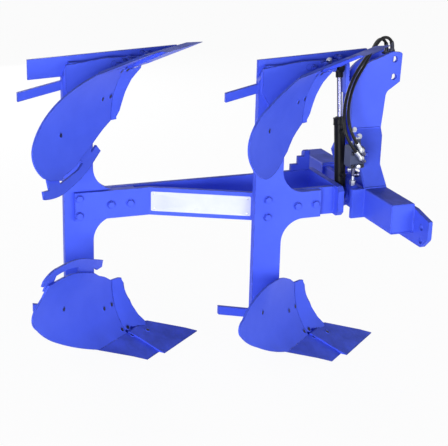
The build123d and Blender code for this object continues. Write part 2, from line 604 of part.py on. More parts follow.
HOSE_RUNS = [
    # from an elbow on the valve block, back and up beside the cylinder, over the tower's shoulder
    # and down on to a coupler between the tower plates' tops; X is ahead of the cross beam's rear
    [(-27, -193, 192), (-51, -195, 218), (-75, -195, 249), (-93, -190, 282), (-99, -179, 320),
     (-97, -164, 362), (-87, -146, 402), (-70, -128, 440), (-49, -112, 478), (-23, -98, 515),
     (8, -84, 549), (44, -65, 580), (86, -43, 608), (117, -31, 638), (139, -25, 644),
     (159, -20, 640), (175, -15, 628), (184, -13, 609), (184, -13, 588)],
    [(-27, -193, 224), (-50, -195, 255), (-68, -192, 287), (-79, -182, 322), (-79, -164, 361),
     (-69, -144, 401), (-52, -124, 438), (-29, -105, 474), (-2, -87, 507), (30, -69, 539),
     (60, -49, 570), (86, -28, 601), (110, -16, 628), (130, -7, 634), (148, 2, 630),
     (163, 9, 618), (172, 13, 599), (172, 13, 578)],
]
HOSE_ROUTES = [[(BOX_REAR + x, y, z) for x, y, z in run] for run in HOSE_RUNS]


def corner_radii(points):
    """The largest arc that each corner's two runs leave room for."""
    radii = []
    for a, b, c in zip(points, points[1:], points[2:]):
        u, v = Vector(*b) - Vector(*a), Vector(*c) - Vector(*b)
        turn = radians(u.get_angle(v))
        radii.append(0.45 * min(u.length, v.length) / tan(turn / 2))
    return radii


def hose(points):
    radii = corner_radii(points)
    path = FilletPolyline(*points, radius=radii)
    start = Plane(origin=path @ 0, z_dir=path % 0)
    tube = sweep(start * Circle(HOSE_D / 2), path=path)
    print("hose: length", round(path.length), "radii", [round(r) for r in radii],
          "volume ratio", round(tube.volume / (path.length * pi * HOSE_D ** 2 / 4), 4))
    return tube


# ---------------------------------------------------------------- assembly
def beam_nodes():
    """Every node in the beam's frame, by name."""
    nodes = {}
    stations = {"rear": (0.0, REAR_LEG_Y), "front": (BODY_SPACING, FRONT_LEG_Y)}
    for kind, (leg_x, leg_y) in stations.items():
        nodes[f"{kind}_leg"] = Pos(leg_x, leg_y, 0) * leg()
        for side in ("lower", "upper"):
            body = f"{kind}_{side}"
            pieces = {"mouldboard": mouldboard(body), "shin": shin(side), "share": share(),
                      "landside": landside(LANDSIDE_HEELS[body]), "frog": frog(),
                      "heel_bar": heel_bar(HEEL_BAR_ENDS[body], HEEL_BAR_DROPS[side])}
            if body in STRAP_OUTLINES:
                pieces["extension"] = extension(body)
            for name, piece in pieces.items():
                low = lower_place(leg_x, leg_y) * piece
                nodes[f"{body}_{name}"] = low if side == "lower" else mirror(low, Plane.XY)
    nodes["beam_near_plate"] = near_plate()
    nodes["beam_far_plate"] = far_plate()
    nodes["beam_stop"] = beam_stop()
    nodes["turning_head"] = turning_head()
    nodes["turnover_shaft"] = turnover_shaft()
    nodes["cylinder_barrel"] = cylinder_barrel()
    nodes["cylinder_rod"] = cylinder_rod()
    nodes["rod_eye"] = rod_eye()
    for side, sign in (("left", 1), ("right", -1)):
        for course in TOWER_COURSES:
            nodes[f"tower_{course}_{side}"] = tower_course(course, side)
        nodes[f"cross_beam_{side}"] = cross_beam(sign)
        nodes[f"hitch_plate_{side}"] = hitch_plate(sign)
    nodes["pivot_housing"] = pivot_housing()
    nodes["tower_web"] = tower_web()
    nodes["rod_bracket"] = rod_bracket()
    nodes["valve_block"] = valve_block()
    nodes["valve_bracket"] = valve_bracket()
    nodes["valve_fittings"] = valve_fittings()
    nodes["couplers"] = couplers()
    for number, route in enumerate(HOSE_ROUTES, 1):
        nodes[f"hose_{number}"] = hose(route)
    return nodes


def park_location(nodes):
    """Bring the middle of the plan and the ground under the lower shares to the origin."""
    boxes = [node.bounding_box() for node in nodes.values()]
    low = [min(getattr(b.min, a) for b in boxes) for a in "XYZ"]
    high = [max(getattr(b.max, a) for b in boxes) for a in "XYZ"]
    return Pos(-(low[0] + high[0]) / 2, -(low[1] + high[1]) / 2, -low[2])


NODES = beam_nodes()
PARK = park_location(NODES)
for node_name, solid in NODES.items():
    export_step(PARK * solid, f"parts/{node_name}.step")
print("beam origin at", [round(v, 3) for v in PARK.position])
print(len(NODES), "nodes written")
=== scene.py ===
# %% [markdown]
# # A reversible plough: paint, bolts, welds and hoses
# The steel of this plough comes packed from the solid model: legs, mouldboards, shares, beam,
# headstock and cylinder. This lesson gives each of them a finish and adds what is too small for
# the solid model: weld beads, bolts, hose ends, seals and a blank name board.
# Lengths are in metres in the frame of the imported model, apart from places along the beam, which
# are in millimetres as on a drawing.

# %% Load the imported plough
import json
import math

import bmesh
import bpy
import numpy as np
from mathutils import Matrix, Vector
from mathutils.bvhtree import BVHTree


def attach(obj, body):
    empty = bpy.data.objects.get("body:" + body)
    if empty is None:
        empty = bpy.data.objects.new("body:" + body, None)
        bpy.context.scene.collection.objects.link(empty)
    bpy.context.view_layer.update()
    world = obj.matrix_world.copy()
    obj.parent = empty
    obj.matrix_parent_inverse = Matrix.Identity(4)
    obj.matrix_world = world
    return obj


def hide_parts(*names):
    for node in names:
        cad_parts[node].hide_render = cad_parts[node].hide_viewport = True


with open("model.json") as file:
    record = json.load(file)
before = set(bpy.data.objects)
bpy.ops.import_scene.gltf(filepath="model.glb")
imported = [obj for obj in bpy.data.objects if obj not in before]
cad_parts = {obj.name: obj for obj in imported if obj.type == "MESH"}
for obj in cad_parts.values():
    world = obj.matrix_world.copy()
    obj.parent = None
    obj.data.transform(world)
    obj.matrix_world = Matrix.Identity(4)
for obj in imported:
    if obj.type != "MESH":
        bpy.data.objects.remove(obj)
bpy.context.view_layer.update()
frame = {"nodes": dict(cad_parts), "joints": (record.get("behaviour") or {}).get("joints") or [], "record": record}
turnover = [joint for joint in frame["joints"] if joint["name"] == "turnover"][0]
axle = Vector(turnover["pos_m"])
print("nodes:", len(frame["nodes"]), "turnover axis at", [round(v, 3) for v in axle])

# %% [markdown]
# ## One helper for places
# The plough was drawn along its beam: forward, left and up from the turnover axis. The front face
# of the turning head stands 1.050 m ahead of that drawing's zero. `at` turns such a place, given
# in millimetres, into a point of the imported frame, so that every detail follows the axis. Given
# arrays, it turns a whole path at once.

# %% Places along the beam
HEAD_FRONT = 1050.0


def at(x, y, z):
    """A place along the beam, in millimetres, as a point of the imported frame, in metres."""
    spot = np.stack(np.broadcast_arrays(x - HEAD_FRONT, y, z), -1)
    return np.array(axle) + spot / 1000


print("rear leg's datum:", at(0, 0, 0).round(3))

# %% [markdown]
# ## Camera
# A long lens above the beam, looking across the plough from the side to which it throws the
# earth. The camera looks slightly down and rolls by a degree and a half.

# %% Camera
YAW, PITCH, ROLL = math.radians(21.6), math.radians(18.7), math.radians(1.5)
CAMERA_PLACE = (-1169, -4443, 1518)
look = Vector((math.sin(YAW) * math.cos(PITCH), math.cos(YAW) * math.cos(PITCH), -math.sin(PITCH)))
level = Vector((math.cos(YAW), -math.sin(YAW), 0.0))
upward = level.cross(look)
right = level * math.cos(ROLL) + upward * math.sin(ROLL)
up = upward * math.cos(ROLL) - level * math.sin(ROLL)

camera_data = bpy.data.cameras.new("camera")
camera_data.sensor_width = 36.0
camera_data.lens = 98.7
camera_data.clip_end = 60.0
camera = bpy.data.objects.new("camera", camera_data)
turned = Matrix((right, up, -look)).transposed().to_4x4()
camera.matrix_world = Matrix.Translation(Vector(at(*CAMERA_PLACE))) @ turned
bpy.context.scene.collection.objects.link(camera)
bpy.context.scene.camera = camera
print("camera at", [round(v, 3) for v in camera.matrix_world.translation])

# %% [markdown]
# ## How a material is made
# Paint, steel and rubber all begin with the same shader. A small helper makes the material and
# hands back its node tree, so that each finish below reads as a short list of choices.

# %% Helper: an empty finish
def new_finish(name, colour, roughness, metallic=0.0):
    """A material with one Principled shader; returns it with its tree and shader."""
    finish = bpy.data.materials.new(name)
    finish.use_nodes = True
    tree = finish.node_tree
    shader = tree.nodes["Principled BSDF"]
    shader.inputs["Base Color"].default_value = (*colour, 1.0)
    shader.inputs["Roughness"].default_value = roughness
    shader.inputs["Metallic"].default_value = metallic
    return finish, tree, shader


def linear(*channels):
    """A colour as a paint card shows it, 0 to 255, turned into linear light."""
    card = np.array(channels) / 255
    return tuple(np.where(card < 0.04045, card / 12.92, ((card + 0.055) / 1.055) ** 2.4).tolist())


print("plough blue in linear light:", [round(v, 3) for v in linear(77, 101, 236)])

# %% [markdown]
# ## Small tools for node trees
# A group's empty frame, a noise on object coordinates, a clamped range, a maths step and a colour
# mix: with these five helpers each effect further down is a few lines long.

# %% Helpers: node trees
def group_of(name, inputs, outputs):
    """An empty node group with its sockets; returns the group and its two end nodes."""
    group = bpy.data.node_groups.new(name, "ShaderNodeTree")
    for label, kind, value in inputs:
        socket = group.interface.new_socket(name=label, in_out="INPUT", socket_type=kind)
        if value is not None:
            socket.default_value = value
    for label, kind in outputs:
        group.interface.new_socket(name=label, in_out="OUTPUT", socket_type=kind)
    return group, group.nodes.new("NodeGroupInput"), group.nodes.new("NodeGroupOutput")


def noise_in(tree, place, scale, detail=4.0, roughness=0.55):
    """A noise texture on object coordinates."""
    noise = tree.nodes.new("ShaderNodeTexNoise")
    noise.inputs["Scale"].default_value = scale
    noise.inputs["Detail"].default_value = detail
    noise.inputs["Roughness"].default_value = roughness
    tree.links.new(place.outputs["Object"], noise.inputs["Vector"])
    return noise


def ranged(tree, source, low, high, to_low, to_high):
    """A clamped change of range."""
    change = tree.nodes.new("ShaderNodeMapRange")
    change.inputs["From Min"].default_value = low
    change.inputs["From Max"].default_value = high
    change.inputs["To Min"].default_value = to_low
    change.inputs["To Max"].default_value = to_high
    tree.links.new(source, change.inputs["Value"])
    return change.outputs["Result"]


def combined(tree, operation, one, two):
    """A maths node on two values, each a socket or a number."""
    node = tree.nodes.new("ShaderNodeMath")
    node.operation = operation
    for socket, value in zip(node.inputs, (one, two)):
        if hasattr(value, "links"):
            tree.links.new(value, socket)
        else:
            socket.default_value = value
    return node.outputs[0]


def blended(tree, mask, under, over):
    """A colour mix: `over` covers `under` where the mask is 1."""
    mix = tree.nodes.new("ShaderNodeMix")
    mix.data_type = "RGBA"
    tree.links.new(mask, mix.inputs["Factor"])
    for socket, value in ((mix.inputs["A"], under), (mix.inputs["B"], over)):
        if hasattr(value, "links"):
            tree.links.new(value, socket)
        else:
            socket.default_value = (*value, 1.0)
    return mix.outputs["Result"]


print("node helpers ready")

# %% [markdown]
# ## Sprayed paint up close
# A thick sprayed coat dries with a fine orange peel, and its tone and gloss drift slowly over a
# plate. Both are noises: a small one becomes a height, a large one becomes a mask called cloud.
# The group is built once, and each paint places it with its own values.

# %% Group: paint texture
def make_paint_texture():
    """Orange peel as a height, and a slow cloud that shifts colour and gloss."""
    group, start, end = group_of(
        "paint texture",
        [("Peel Size", "NodeSocketFloat", 260.0), ("Cloud Size", "NodeSocketFloat", 5.0)],
        [("Height", "NodeSocketFloat"), ("Cloud", "NodeSocketFloat")])
    place = group.nodes.new("ShaderNodeTexCoord")
    peel = noise_in(group, place, 260.0, 2.0)
    cloud = noise_in(group, place, 5.0, 5.0, 0.6)
    group.links.new(start.outputs["Peel Size"], peel.inputs["Scale"])
    group.links.new(start.outputs["Cloud Size"], cloud.inputs["Scale"])
    group.links.new(peel.outputs["Fac"], end.inputs["Height"])
    group.links.new(ranged(group, cloud.outputs["Fac"], 0.3, 0.7, 0.0, 1.0), end.inputs["Cloud"])
    return group


PAINT_TEXTURE = make_paint_texture()
print("group:", PAINT_TEXTURE.name)

# %% [markdown]
# ## Painted shade on the edges
# Every plate gets a thin line along its edges: darker on the blue, as painted shade for the dark
# outline along the edges, and lighter on the black and the grey, as wear. A bevel node bends the normal
# near an edge; where the bent and the true normal differ, there is an edge. Noise breaks the line up.

# %% Group: edge shade and wear
def make_edge_shade_and_wear():
    """Where an edge stands out, found by a bevel's bent normal, broken up by noise."""
    group, start, end = group_of(
        "edge shade and wear",
        [("Radius", "NodeSocketFloat", 0.005), ("Amount", "NodeSocketFloat", 0.5)],
        [("Edge", "NodeSocketFloat")])
    place = group.nodes.new("ShaderNodeTexCoord")
    bevel = group.nodes.new("ShaderNodeBevel")
    bevel.samples = 4
    group.links.new(start.outputs["Radius"], bevel.inputs["Radius"])
    geometry = group.nodes.new("ShaderNodeNewGeometry")
    dot = group.nodes.new("ShaderNodeVectorMath")
    dot.operation = "DOT_PRODUCT"
    group.links.new(bevel.outputs["Normal"], dot.inputs[0])
    group.links.new(geometry.outputs["Normal"], dot.inputs[1])
    bent = ranged(group, dot.outputs["Value"], 0.985, 0.80, 0.0, 1.0)
    breaks = noise_in(group, place, 34.0, 6.0, 0.7)
    rough = ranged(group, breaks.outputs["Fac"], 0.42, 0.60, 0.0, 1.0)
    # On the blue paint this edge mask carries painted shade; on the black and the grey, lighter wear.
    edge_mask = combined(group, "MULTIPLY", bent, rough)
    group.links.new(combined(group, "MULTIPLY", edge_mask, start.outputs["Amount"]), end.inputs["Edge"])
    return group


EDGE_SHADE_AND_WEAR = make_edge_shade_and_wear()
print("group:", EDGE_SHADE_AND_WEAR.name)

# %% [markdown]
# ## Shade and dust on what lies flat
# The normal's upward share says how flat a face lies, and a patchy noise keeps the layer from looking
# even. On the blue paint the layer is darker and is painted shade on the faces that look up; on the
# black and the grey it is lighter, as dust.

# %% Group: top shade and dust
def make_top_shade_and_dust():
    """Faces that look up, more in some patches than in others: painted shade on the blue, dust on the others."""
    group, start, end = group_of(
        "top shade and dust", [("Amount", "NodeSocketFloat", 0.3)], [("Top Shade And Dust", "NodeSocketFloat")])
    place = group.nodes.new("ShaderNodeTexCoord")
    geometry = group.nodes.new("ShaderNodeNewGeometry")
    parts = group.nodes.new("ShaderNodeSeparateXYZ")
    group.links.new(geometry.outputs["Normal"], parts.inputs["Vector"])
    upward_face = ranged(group, parts.outputs["Z"], 0.35, 0.95, 0.0, 1.0)
    patches = noise_in(group, place, 11.0, 6.0, 0.65)
    patchy = ranged(group, patches.outputs["Fac"], 0.35, 0.65, 0.35, 1.0)
    # On the blue paint this mask carries painted shade on the faces that look up; on the others, dust.
    top_mask = combined(group, "MULTIPLY", upward_face, patchy)
    group.links.new(combined(group, "MULTIPLY", top_mask, start.outputs["Amount"]), end.inputs["Top Shade And Dust"])
    return group


TOP_SHADE_AND_DUST = make_top_shade_and_dust()
print("group:", TOP_SHADE_AND_DUST.name)

# %% [markdown]
# ## Painted steel
# The real finish is one thick sprayed coat over plate and weld alike. The paint is a deep, clean
# blue with a soft shine; its edges and the faces that lie flat are painted darker, as shade, and
# the flat faces also turn duller. The same recipe with other values makes the cylinder's black and
# the valve's grey, whose edges and flat faces turn lighter with wear and dust.

# %% Paint recipe
def placed(tree, group, **values):
    """A group node in a material, with its own values."""
    node = tree.nodes.new("ShaderNodeGroup")
    node.node_tree = group
    for label, value in values.items():
        node.inputs[label.replace("_", " ")].default_value = value
    return node


def bumped(tree, shader, height, strength, depth):
    """A height, at most `depth` metres, bends the shader's normal."""
    bump = tree.nodes.new("ShaderNodeBump")
    bump.inputs["Strength"].default_value = strength
    bump.inputs["Distance"].default_value = depth
    tree.links.new(height, bump.inputs["Height"])
    tree.links.new(bump.outputs["Normal"], shader.inputs["Normal"])


def painted(name, colour, deep, edge, top_tone, roughness, edge_amount=0.5, top_amount=0.25, coat=0.04):
    """Sprayed paint: two tones in slow clouds, a line on the edges and a tone on faces that look up (painted shade
    on the blue, wear and dust on the black and the grey), uneven gloss, orange peel.
    """
    finish, tree, shader = new_finish(name, colour, roughness)
    texture = placed(tree, PAINT_TEXTURE)
    edges = placed(tree, EDGE_SHADE_AND_WEAR, Amount=edge_amount)
    top_faces = placed(tree, TOP_SHADE_AND_DUST, Amount=top_amount)
    tone = blended(tree, texture.outputs["Cloud"], colour, deep)
    tone = blended(tree, edges.outputs["Edge"], tone, edge)
    tone = blended(tree, top_faces.outputs["Top Shade And Dust"], tone, top_tone)
    tree.links.new(tone, shader.inputs["Base Color"])
    gloss = ranged(tree, texture.outputs["Cloud"], 0.0, 1.0, roughness - 0.05, roughness + 0.07)
    dull = combined(tree, "MULTIPLY", top_faces.outputs["Top Shade And Dust"], 0.35)
    tree.links.new(combined(tree, "ADD", gloss, dull), shader.inputs["Roughness"])
    bumped(tree, shader, texture.outputs["Height"], 0.10, 0.001)
    shader.inputs["IOR"].default_value = 1.2
    shader.inputs["Coat Weight"].default_value = coat
    shader.inputs["Coat Roughness"].default_value = 0.15
    return finish


# On the blue, the edge tone and the top tone are painted shade: darker lines on the edges and darker faces that
# look up.
plough_blue = painted("plough blue", linear(77, 101, 236), linear(71, 94, 228),
                      linear(24, 30, 108), linear(46, 54, 100), 0.42, edge_amount=0.9, top_amount=0.55)
cylinder_black = painted("cylinder black", linear(12, 13, 20), linear(17, 18, 26),
                         linear(52, 54, 64), linear(34, 36, 44), 0.42, edge_amount=0.35, coat=0.0)
valve_grey = painted("valve grey", linear(70, 78, 108), linear(62, 70, 98),
                     linear(112, 118, 142), linear(84, 90, 112), 0.45)
print("paints:", plough_blue.name, cylinder_black.name, valve_grey.name)

# %% [markdown]
# ## Bare metals
# The piston rod is bright plating with a fine turning grain, and hose ends and fasteners that were
# never painted are dull zinc. One recipe makes them all: a metal whose gloss drifts in patches and
# whose fine grain only shows as a slight unevenness of the highlight.

# %% Bright and dull metal
def plated(name, colour, roughness, streak=900.0, strength=0.05):
    """Bare or plated metal: fine grain in roughness and height."""
    finish, tree, shader = new_finish(name, colour, roughness, metallic=1.0)
    place = tree.nodes.new("ShaderNodeTexCoord")
    grain = noise_in(tree, place, streak, 3.0).outputs["Fac"]
    smear = noise_in(tree, place, 40.0, 4.0).outputs["Fac"]
    tree.links.new(ranged(tree, smear, 0.3, 0.7, roughness * 0.8, roughness * 1.35),
                   shader.inputs["Roughness"])
    tint = tuple(0.82 * v for v in colour)
    tree.links.new(blended(tree, ranged(tree, smear, 0.35, 0.75, 0.0, 1.0), colour, tint),
                   shader.inputs["Base Color"])
    bumped(tree, shader, grain, strength, 0.0004)
    return finish


rod_chrome = plated("rod chrome", linear(104, 105, 134), 0.22)
fitting_zinc = plated("fitting zinc", linear(206, 210, 220), 0.30, 500.0, 0.12)
dark_steel = plated("dark steel", linear(66, 68, 80), 0.45, 300.0, 0.2)
print("metals:", rod_chrome.name, fitting_zinc.name, dark_steel.name)

# %% [markdown]
# ## Rubber and enamel
# A hose cover is matt black with scuffs that turn grey and a faint imprint of the cloth that it
# was cured in. The same recipe in a very dark blue is painted shade on the floors of the sunk
# bolts' sockets. The board's enamel is smooth and pale, a little uneven with age.

# %% Rubber and enamel
def rubbery(name, colour):
    """Hose cover: matt black with a faint cloth imprint and scuffs."""
    finish, tree, shader = new_finish(name, colour, 0.48)
    place = tree.nodes.new("ShaderNodeTexCoord")
    scuff = noise_in(tree, place, 60.0, 6.0, 0.7).outputs["Fac"]
    imprint = noise_in(tree, place, 700.0, 2.0).outputs["Fac"]
    shader.inputs["IOR"].default_value = 1.33
    pale = tuple(v * 3.0 + 0.006 for v in colour)
    mask = ranged(tree, scuff, 0.55, 0.80, 0.0, 0.6)
    tree.links.new(blended(tree, mask, colour, pale), shader.inputs["Base Color"])
    tree.links.new(ranged(tree, scuff, 0.3, 0.7, 0.28, 0.50), shader.inputs["Roughness"])
    bumped(tree, shader, imprint, 0.3, 0.0005)
    return finish


def enamelled(name, colour, aged):
    """Smooth enamel with slow yellowing and tiny specks."""
    finish, tree, shader = new_finish(name, colour, 0.30)
    place = tree.nodes.new("ShaderNodeTexCoord")
    age = noise_in(tree, place, 7.0, 4.0).outputs["Fac"]
    specks = noise_in(tree, place, 420.0, 2.0).outputs["Fac"]
    tone = blended(tree, ranged(tree, age, 0.35, 0.7, 0.0, 1.0), colour, aged)
    fleck = tuple(0.55 * v for v in colour)
    tone = blended(tree, ranged(tree, specks, 0.71, 0.76, 0.0, 0.6), tone, fleck)
    tree.links.new(tone, shader.inputs["Base Color"])
    tree.links.new(ranged(tree, age, 0.3, 0.7, 0.24, 0.38), shader.inputs["Roughness"])
    return finish


hose_rubber = rubbery("hose rubber", linear(10, 11, 15))
board_enamel = enamelled("board enamel", linear(222, 226, 250), linear(206, 212, 242))
# Painted shade: a very dark blue for the floors of the bolt sockets, standing for the shade inside them.
socket_shade = rubbery("socket shade", linear(6, 9, 48))
print("finishes so far:", len(bpy.data.materials))

# %% [markdown]
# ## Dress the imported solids
# Each node already has its slot; here it gets the finish that stands for that slot. The finishes
# that no solid wears, on small pieces only, are each filed under the slot that comes nearest.

# %% Finishes on the solids
FINISH_OF_SLOT = {"blue_paint": plough_blue, "black_paint": cylinder_black,
                  "grey_paint": valve_grey, "chrome": rod_chrome,
                  "dark_steel": dark_steel, "rubber": hose_rubber}
SLOT_OF_FINISH = {finish.name: slot for slot, finish in FINISH_OF_SLOT.items()}
SLOT_OF_FINISH.update({fitting_zinc.name: "chrome", socket_shade.name: "blue_paint",
                       board_enamel.name: "grey_paint"})
slot_of_node = {part["node"]: part["material_slot"] for part in frame["record"]["subparts"]}
for name, node in frame["nodes"].items():
    node.data.materials.clear()
    node.data.materials.append(FINISH_OF_SLOT[slot_of_node[name]])
print("dressed:", len(slot_of_node), "nodes")

# %% [markdown]
# ## The two hoses
# Each hose leaves an elbow on the valve block, climbs beside the cylinder, bends over the tower's
# shoulder and screws down on to a coupler between the tower plates. A NURBS curve is the natural
# choice: its few control points are the hose's route, and the line between them is smooth.

# %% Hoses
HOSE_D = 0.013
HOSE_ROUTES = [
    [(1099, -193, 192), (1075, -195, 218), (1051, -195, 249), (1033, -190, 282), (1027, -179, 320),
     (1029, -164, 362), (1039, -146, 402), (1056, -128, 440), (1077, -112, 478), (1103, -98, 515),
     (1134, -84, 549), (1170, -65, 580), (1212, -43, 608), (1243, -31, 638), (1265, -25, 644),
     (1285, -20, 640), (1301, -15, 628), (1310, -13, 609), (1310, -13, 588)],
    [(1099, -193, 224), (1076, -195, 255), (1058, -192, 287), (1047, -182, 322), (1047, -164, 361),
     (1057, -144, 401), (1074, -124, 438), (1097, -105, 474), (1124, -87, 507), (1156, -69, 539),
     (1186, -49, 570), (1212, -28, 601), (1236, -16, 628), (1256, -7, 634), (1274, 2, 630),
     (1289, 9, 618), (1298, 13, 599), (1298, 13, 578)],
]
HOSE_LENGTHS = [0.685, 0.624]


def hose_curve(name, route):
    """A NURBS curve that the hose's route controls, with a round section."""
    data = bpy.data.curves.new(name, "CURVE")
    data.dimensions = "3D"
    data.bevel_depth = HOSE_D / 2
    data.bevel_resolution = 5
    data.resolution_u = 8
    spline = data.splines.new("NURBS")
    spline.points.add(len(route) - 1)
    for point, place in zip(spline.points, route):
        point.co = (*at(*place), 1.0)
    spline.order_u = 3
    spline.use_endpoint_u = True
    piece = bpy.data.objects.new(name, data)
    bpy.context.scene.collection.objects.link(piece)
    data.materials.append(hose_rubber)
    return piece


hoses = []
for number, route in enumerate(HOSE_ROUTES, 1):
    hose = hose_curve(f"hose_line_{number}", route)
    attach(hose, "headstock")
    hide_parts(f"hose_{number}")
    hoses.append(hose)
print("hoses:", [len(route) for route in HOSE_ROUTES], "points")

# %% [markdown]
# ## Surfaces on a grid
# All new pieces are surfaces of two parameters. `sheet_faces` links a grid of points into quads
# whose rows close round. `make_piece` puts the arrays into a mesh, merges the points that meet at
# poles, turns all faces outward, and hangs the piece on the body it moves with.

# %% Helper: grid to mesh
def sheet_faces(rows, columns):
    """Quads between the rows of a grid whose columns close round, four indices each."""
    row = np.arange(rows - 1)[:, None]
    column = np.arange(columns)[None, :]
    next_row, next_column = row + 1, (column + 1) % columns
    corners = [row * columns + column, row * columns + next_column,
               next_row * columns + next_column, next_row * columns + column]
    return np.stack(np.broadcast_arrays(*corners), -1).reshape(-1, 4)


def make_piece(name, shape, body, finish, sharp=None):
    """A shape, its points and its quads, as a finished piece that rides on a body."""
    points, faces = shape
    mesh = bpy.data.meshes.new(name)
    mesh.from_pydata(points.tolist(), [], faces.tolist())
    shell = bmesh.new()
    shell.from_mesh(mesh)
    bmesh.ops.remove_doubles(shell, verts=shell.verts, dist=1e-6)
    bmesh.ops.recalc_face_normals(shell, faces=shell.faces)
    shell.to_mesh(mesh)
    shell.free()
    mesh.polygons.foreach_set("use_smooth", np.full(len(mesh.polygons), True))
    mesh.materials.append(finish)
    piece = bpy.data.objects.new(name, mesh)
    bpy.context.scene.collection.objects.link(piece)
    if sharp is not None:
        mesh.set_sharp_from_angle(angle=math.radians(sharp))
    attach(piece, body)
    return piece


def together(shapes):
    """Several shapes as one: their points in a row, their faces counted on."""
    bases = np.cumsum([0] + [len(points) for points, _ in shapes])
    return (np.concatenate([points for points, _ in shapes]),
            np.concatenate([faces + base for (_, faces), base in zip(shapes, bases)]))


print("a grid of 3 by 4 has", len(sheet_faces(3, 4)), "quads")

# %% [markdown]
# ## Turned shapes
# Bolts, ferrules, collars and rings are all turned: a profile of radius against height, swept
# round an axis. A hexagon is the same sweep with a radius that follows its six flats: the distance
# from the centre to a flat, divided by the cosine of the angle from that flat's middle.

# %% Helper: turned shapes
FORWARD, LEFT, UP = np.eye(3)


def unit(vectors):
    """Vectors at length one."""
    return vectors / np.linalg.norm(vectors, axis=-1, keepdims=True)


def basis(axis):
    """Three square directions, the last of them along the axis."""
    w = unit(np.asarray(axis, float))
    u = unit(np.cross(UP if abs(w[2]) < 0.9 else FORWARD, w))
    return u, np.cross(w, u), w


def ring_radii(profile, sides):
    """Profile rows (radius, place, flat) as radii at each angle, one row of them per ring.

    Where a row names a flat, the radius is cut to flat / cos(angle from the flat's middle)."""
    angle = np.arange(sides) * 2 * np.pi / sides
    cut = 1 / np.cos((angle + np.pi / 6) % (np.pi / 3) - np.pi / 6)
    return np.array([np.minimum(row[0], row[2] * cut) if len(row) == 3 else np.full(sides, row[0])
                     for row in profile])


def turned_shape(profile, origin, axis, sides=32, spin=0.0):
    """Profile rows (radius, height, flat) swept round an axis.

    Point = origin + radius·(cos, sin) of the angle + height·axis."""
    angle = np.arange(sides) * 2 * np.pi / sides + spin
    u, v, w = basis(axis)
    ring = np.outer(np.cos(angle), u) + np.outer(np.sin(angle), v)
    height = np.array([row[1] for row in profile])
    points = origin + ring * ring_radii(profile, sides)[:, :, None] + w * height[:, None, None]
    return points.reshape(-1, 3), sheet_faces(len(profile), sides)


def ring_shape(profile, origin, axis, sides=48):
    """A ring that something passes through: its section, a closed line of (radius, height)."""
    return turned_shape(profile + profile[:1], origin, axis, sides)


disc = turned_shape([(0, 0), (1, 0), (1, 1), (0, 1)], at(0, 0, 0), UP)
print("a turned disc has", len(disc[0]), "points")

# %% [markdown]
# ## Hexagon heads and nuts
# A bolt head is a washer, a hexagon and the small cone that a lathe cuts on its top. A nut is the
# same with the rounded end of the thread standing out of it. Both are one profile each, measured
# in thread diameters, so that every size of bolt comes from the same few numbers.

# %% Helper: bolts and nuts
CORNER = 1 / math.cos(math.pi / 6)
SUNK = -0.001
WASHER_T = 0.0024


def washer_profile(size):
    """The washer under a head or nut, from its middle, sunk in the seat, to the hexagon's foot."""
    return [(0.0, SUNK), (1.02 * size, SUNK), (1.08 * size, 0.0006), (1.08 * size, 0.0018),
            (1.02 * size, WASHER_T), (0.86 * size, WASHER_T)]


def hexagon(size, foot, tall, chamfer):
    """Rows of a hexagon whose corners are cut off above `chamfer` of its height."""
    flat = 0.80 * size
    return [(flat * CORNER, foot, flat), (flat * CORNER, foot + tall * chamfer, flat),
            (flat, foot + tall, flat)]


def head_profile(size):
    """Washer and hexagon head, from inside the seat to the middle of the top."""
    tall, foot = 0.62 * size, 0.0026
    return washer_profile(size) + hexagon(size, foot, tall, 0.84) + [
        (0.62 * size, foot + tall), (0.0, foot + tall)]


def nut_profile(size):
    """Washer, hexagon nut and the thread's rounded end."""
    tall = 0.80 * size
    return washer_profile(size) + hexagon(size, WASHER_T, tall, 0.86) + [
        (r * size, WASHER_T + tall * h)
        for r, h in ((0.55, 1.0), (0.50, 0.98), (0.50, 1.30), (0.42, 1.42), (0.0, 1.42))]


def fasteners(name, seats, profile, body, finish, sides=24):
    """One profile on every (place, direction) seat, each turned a little differently."""
    shapes = [turned_shape(profile, place, axis, sides, 0.3 + 0.7 * n)
              for n, (place, axis) in enumerate(seats)]
    return make_piece(name, together(shapes), body, finish, sharp=32)


print("an M16 head is", round(2000 * 0.80 * 0.016, 1), "mm across its flats")

# %% [markdown]
# ## Seats on the surfaces
# A bolt sits square on its plate. `seat` sends a ray from a place towards some nodes and gives
# back the first point that it meets and the way the face looks there. Most rays start well off to
# one side of the plough and come in square to the beam.

# %% Helper: seats by ray
surface_of = {}


def surface(node):
    """A node's faces in a search tree, made at the first call and kept."""
    if node not in surface_of:
        data = frame["nodes"][node].data
        surface_of[node] = BVHTree.FromPolygons([v.co[:] for v in data.vertices],
                                                [p.vertices[:] for p in data.polygons])
    return surface_of[node]


def seat(nodes, start, direction):
    """Where a ray first meets one of the nodes: the point and the outward normal, in metres."""
    ray = Vector(direction).normalized()
    found = [surface(node).ray_cast(Vector(start), ray) for node in nodes]
    found = [(far, hit, normal) for hit, normal, _, far in found if hit is not None]
    if not found:
        raise ValueError(f"no face of {nodes} in front of {start}")
    _, hit, normal = min(found, key=lambda one: one[0])
    return np.array(hit), np.array(normal if normal.dot(ray) < 0 else -normal)


near_side = seat(["beam_near_plate"], at(100, -400, 0), LEFT)[0]
print("near plate stands at y", near_side[1].round(3))

# %% [markdown]
# ## Bolts of the frame
# The beam plates are bolted to both legs: two bolts one above the other at the leg itself and two
# along its forward arm. All were painted over together with the plates. The rear leg's nuts stand
# on the far plate, the front leg's on the inner side of the near plate.

# %% Frame bolts
REAR_LEG_X, FRONT_LEG_X = 0.0, 714.0
FRAME_BOLTS = [(0, 36), (0, -36), (131, 0), (211, 0)]
FRAME_THREAD = 0.016


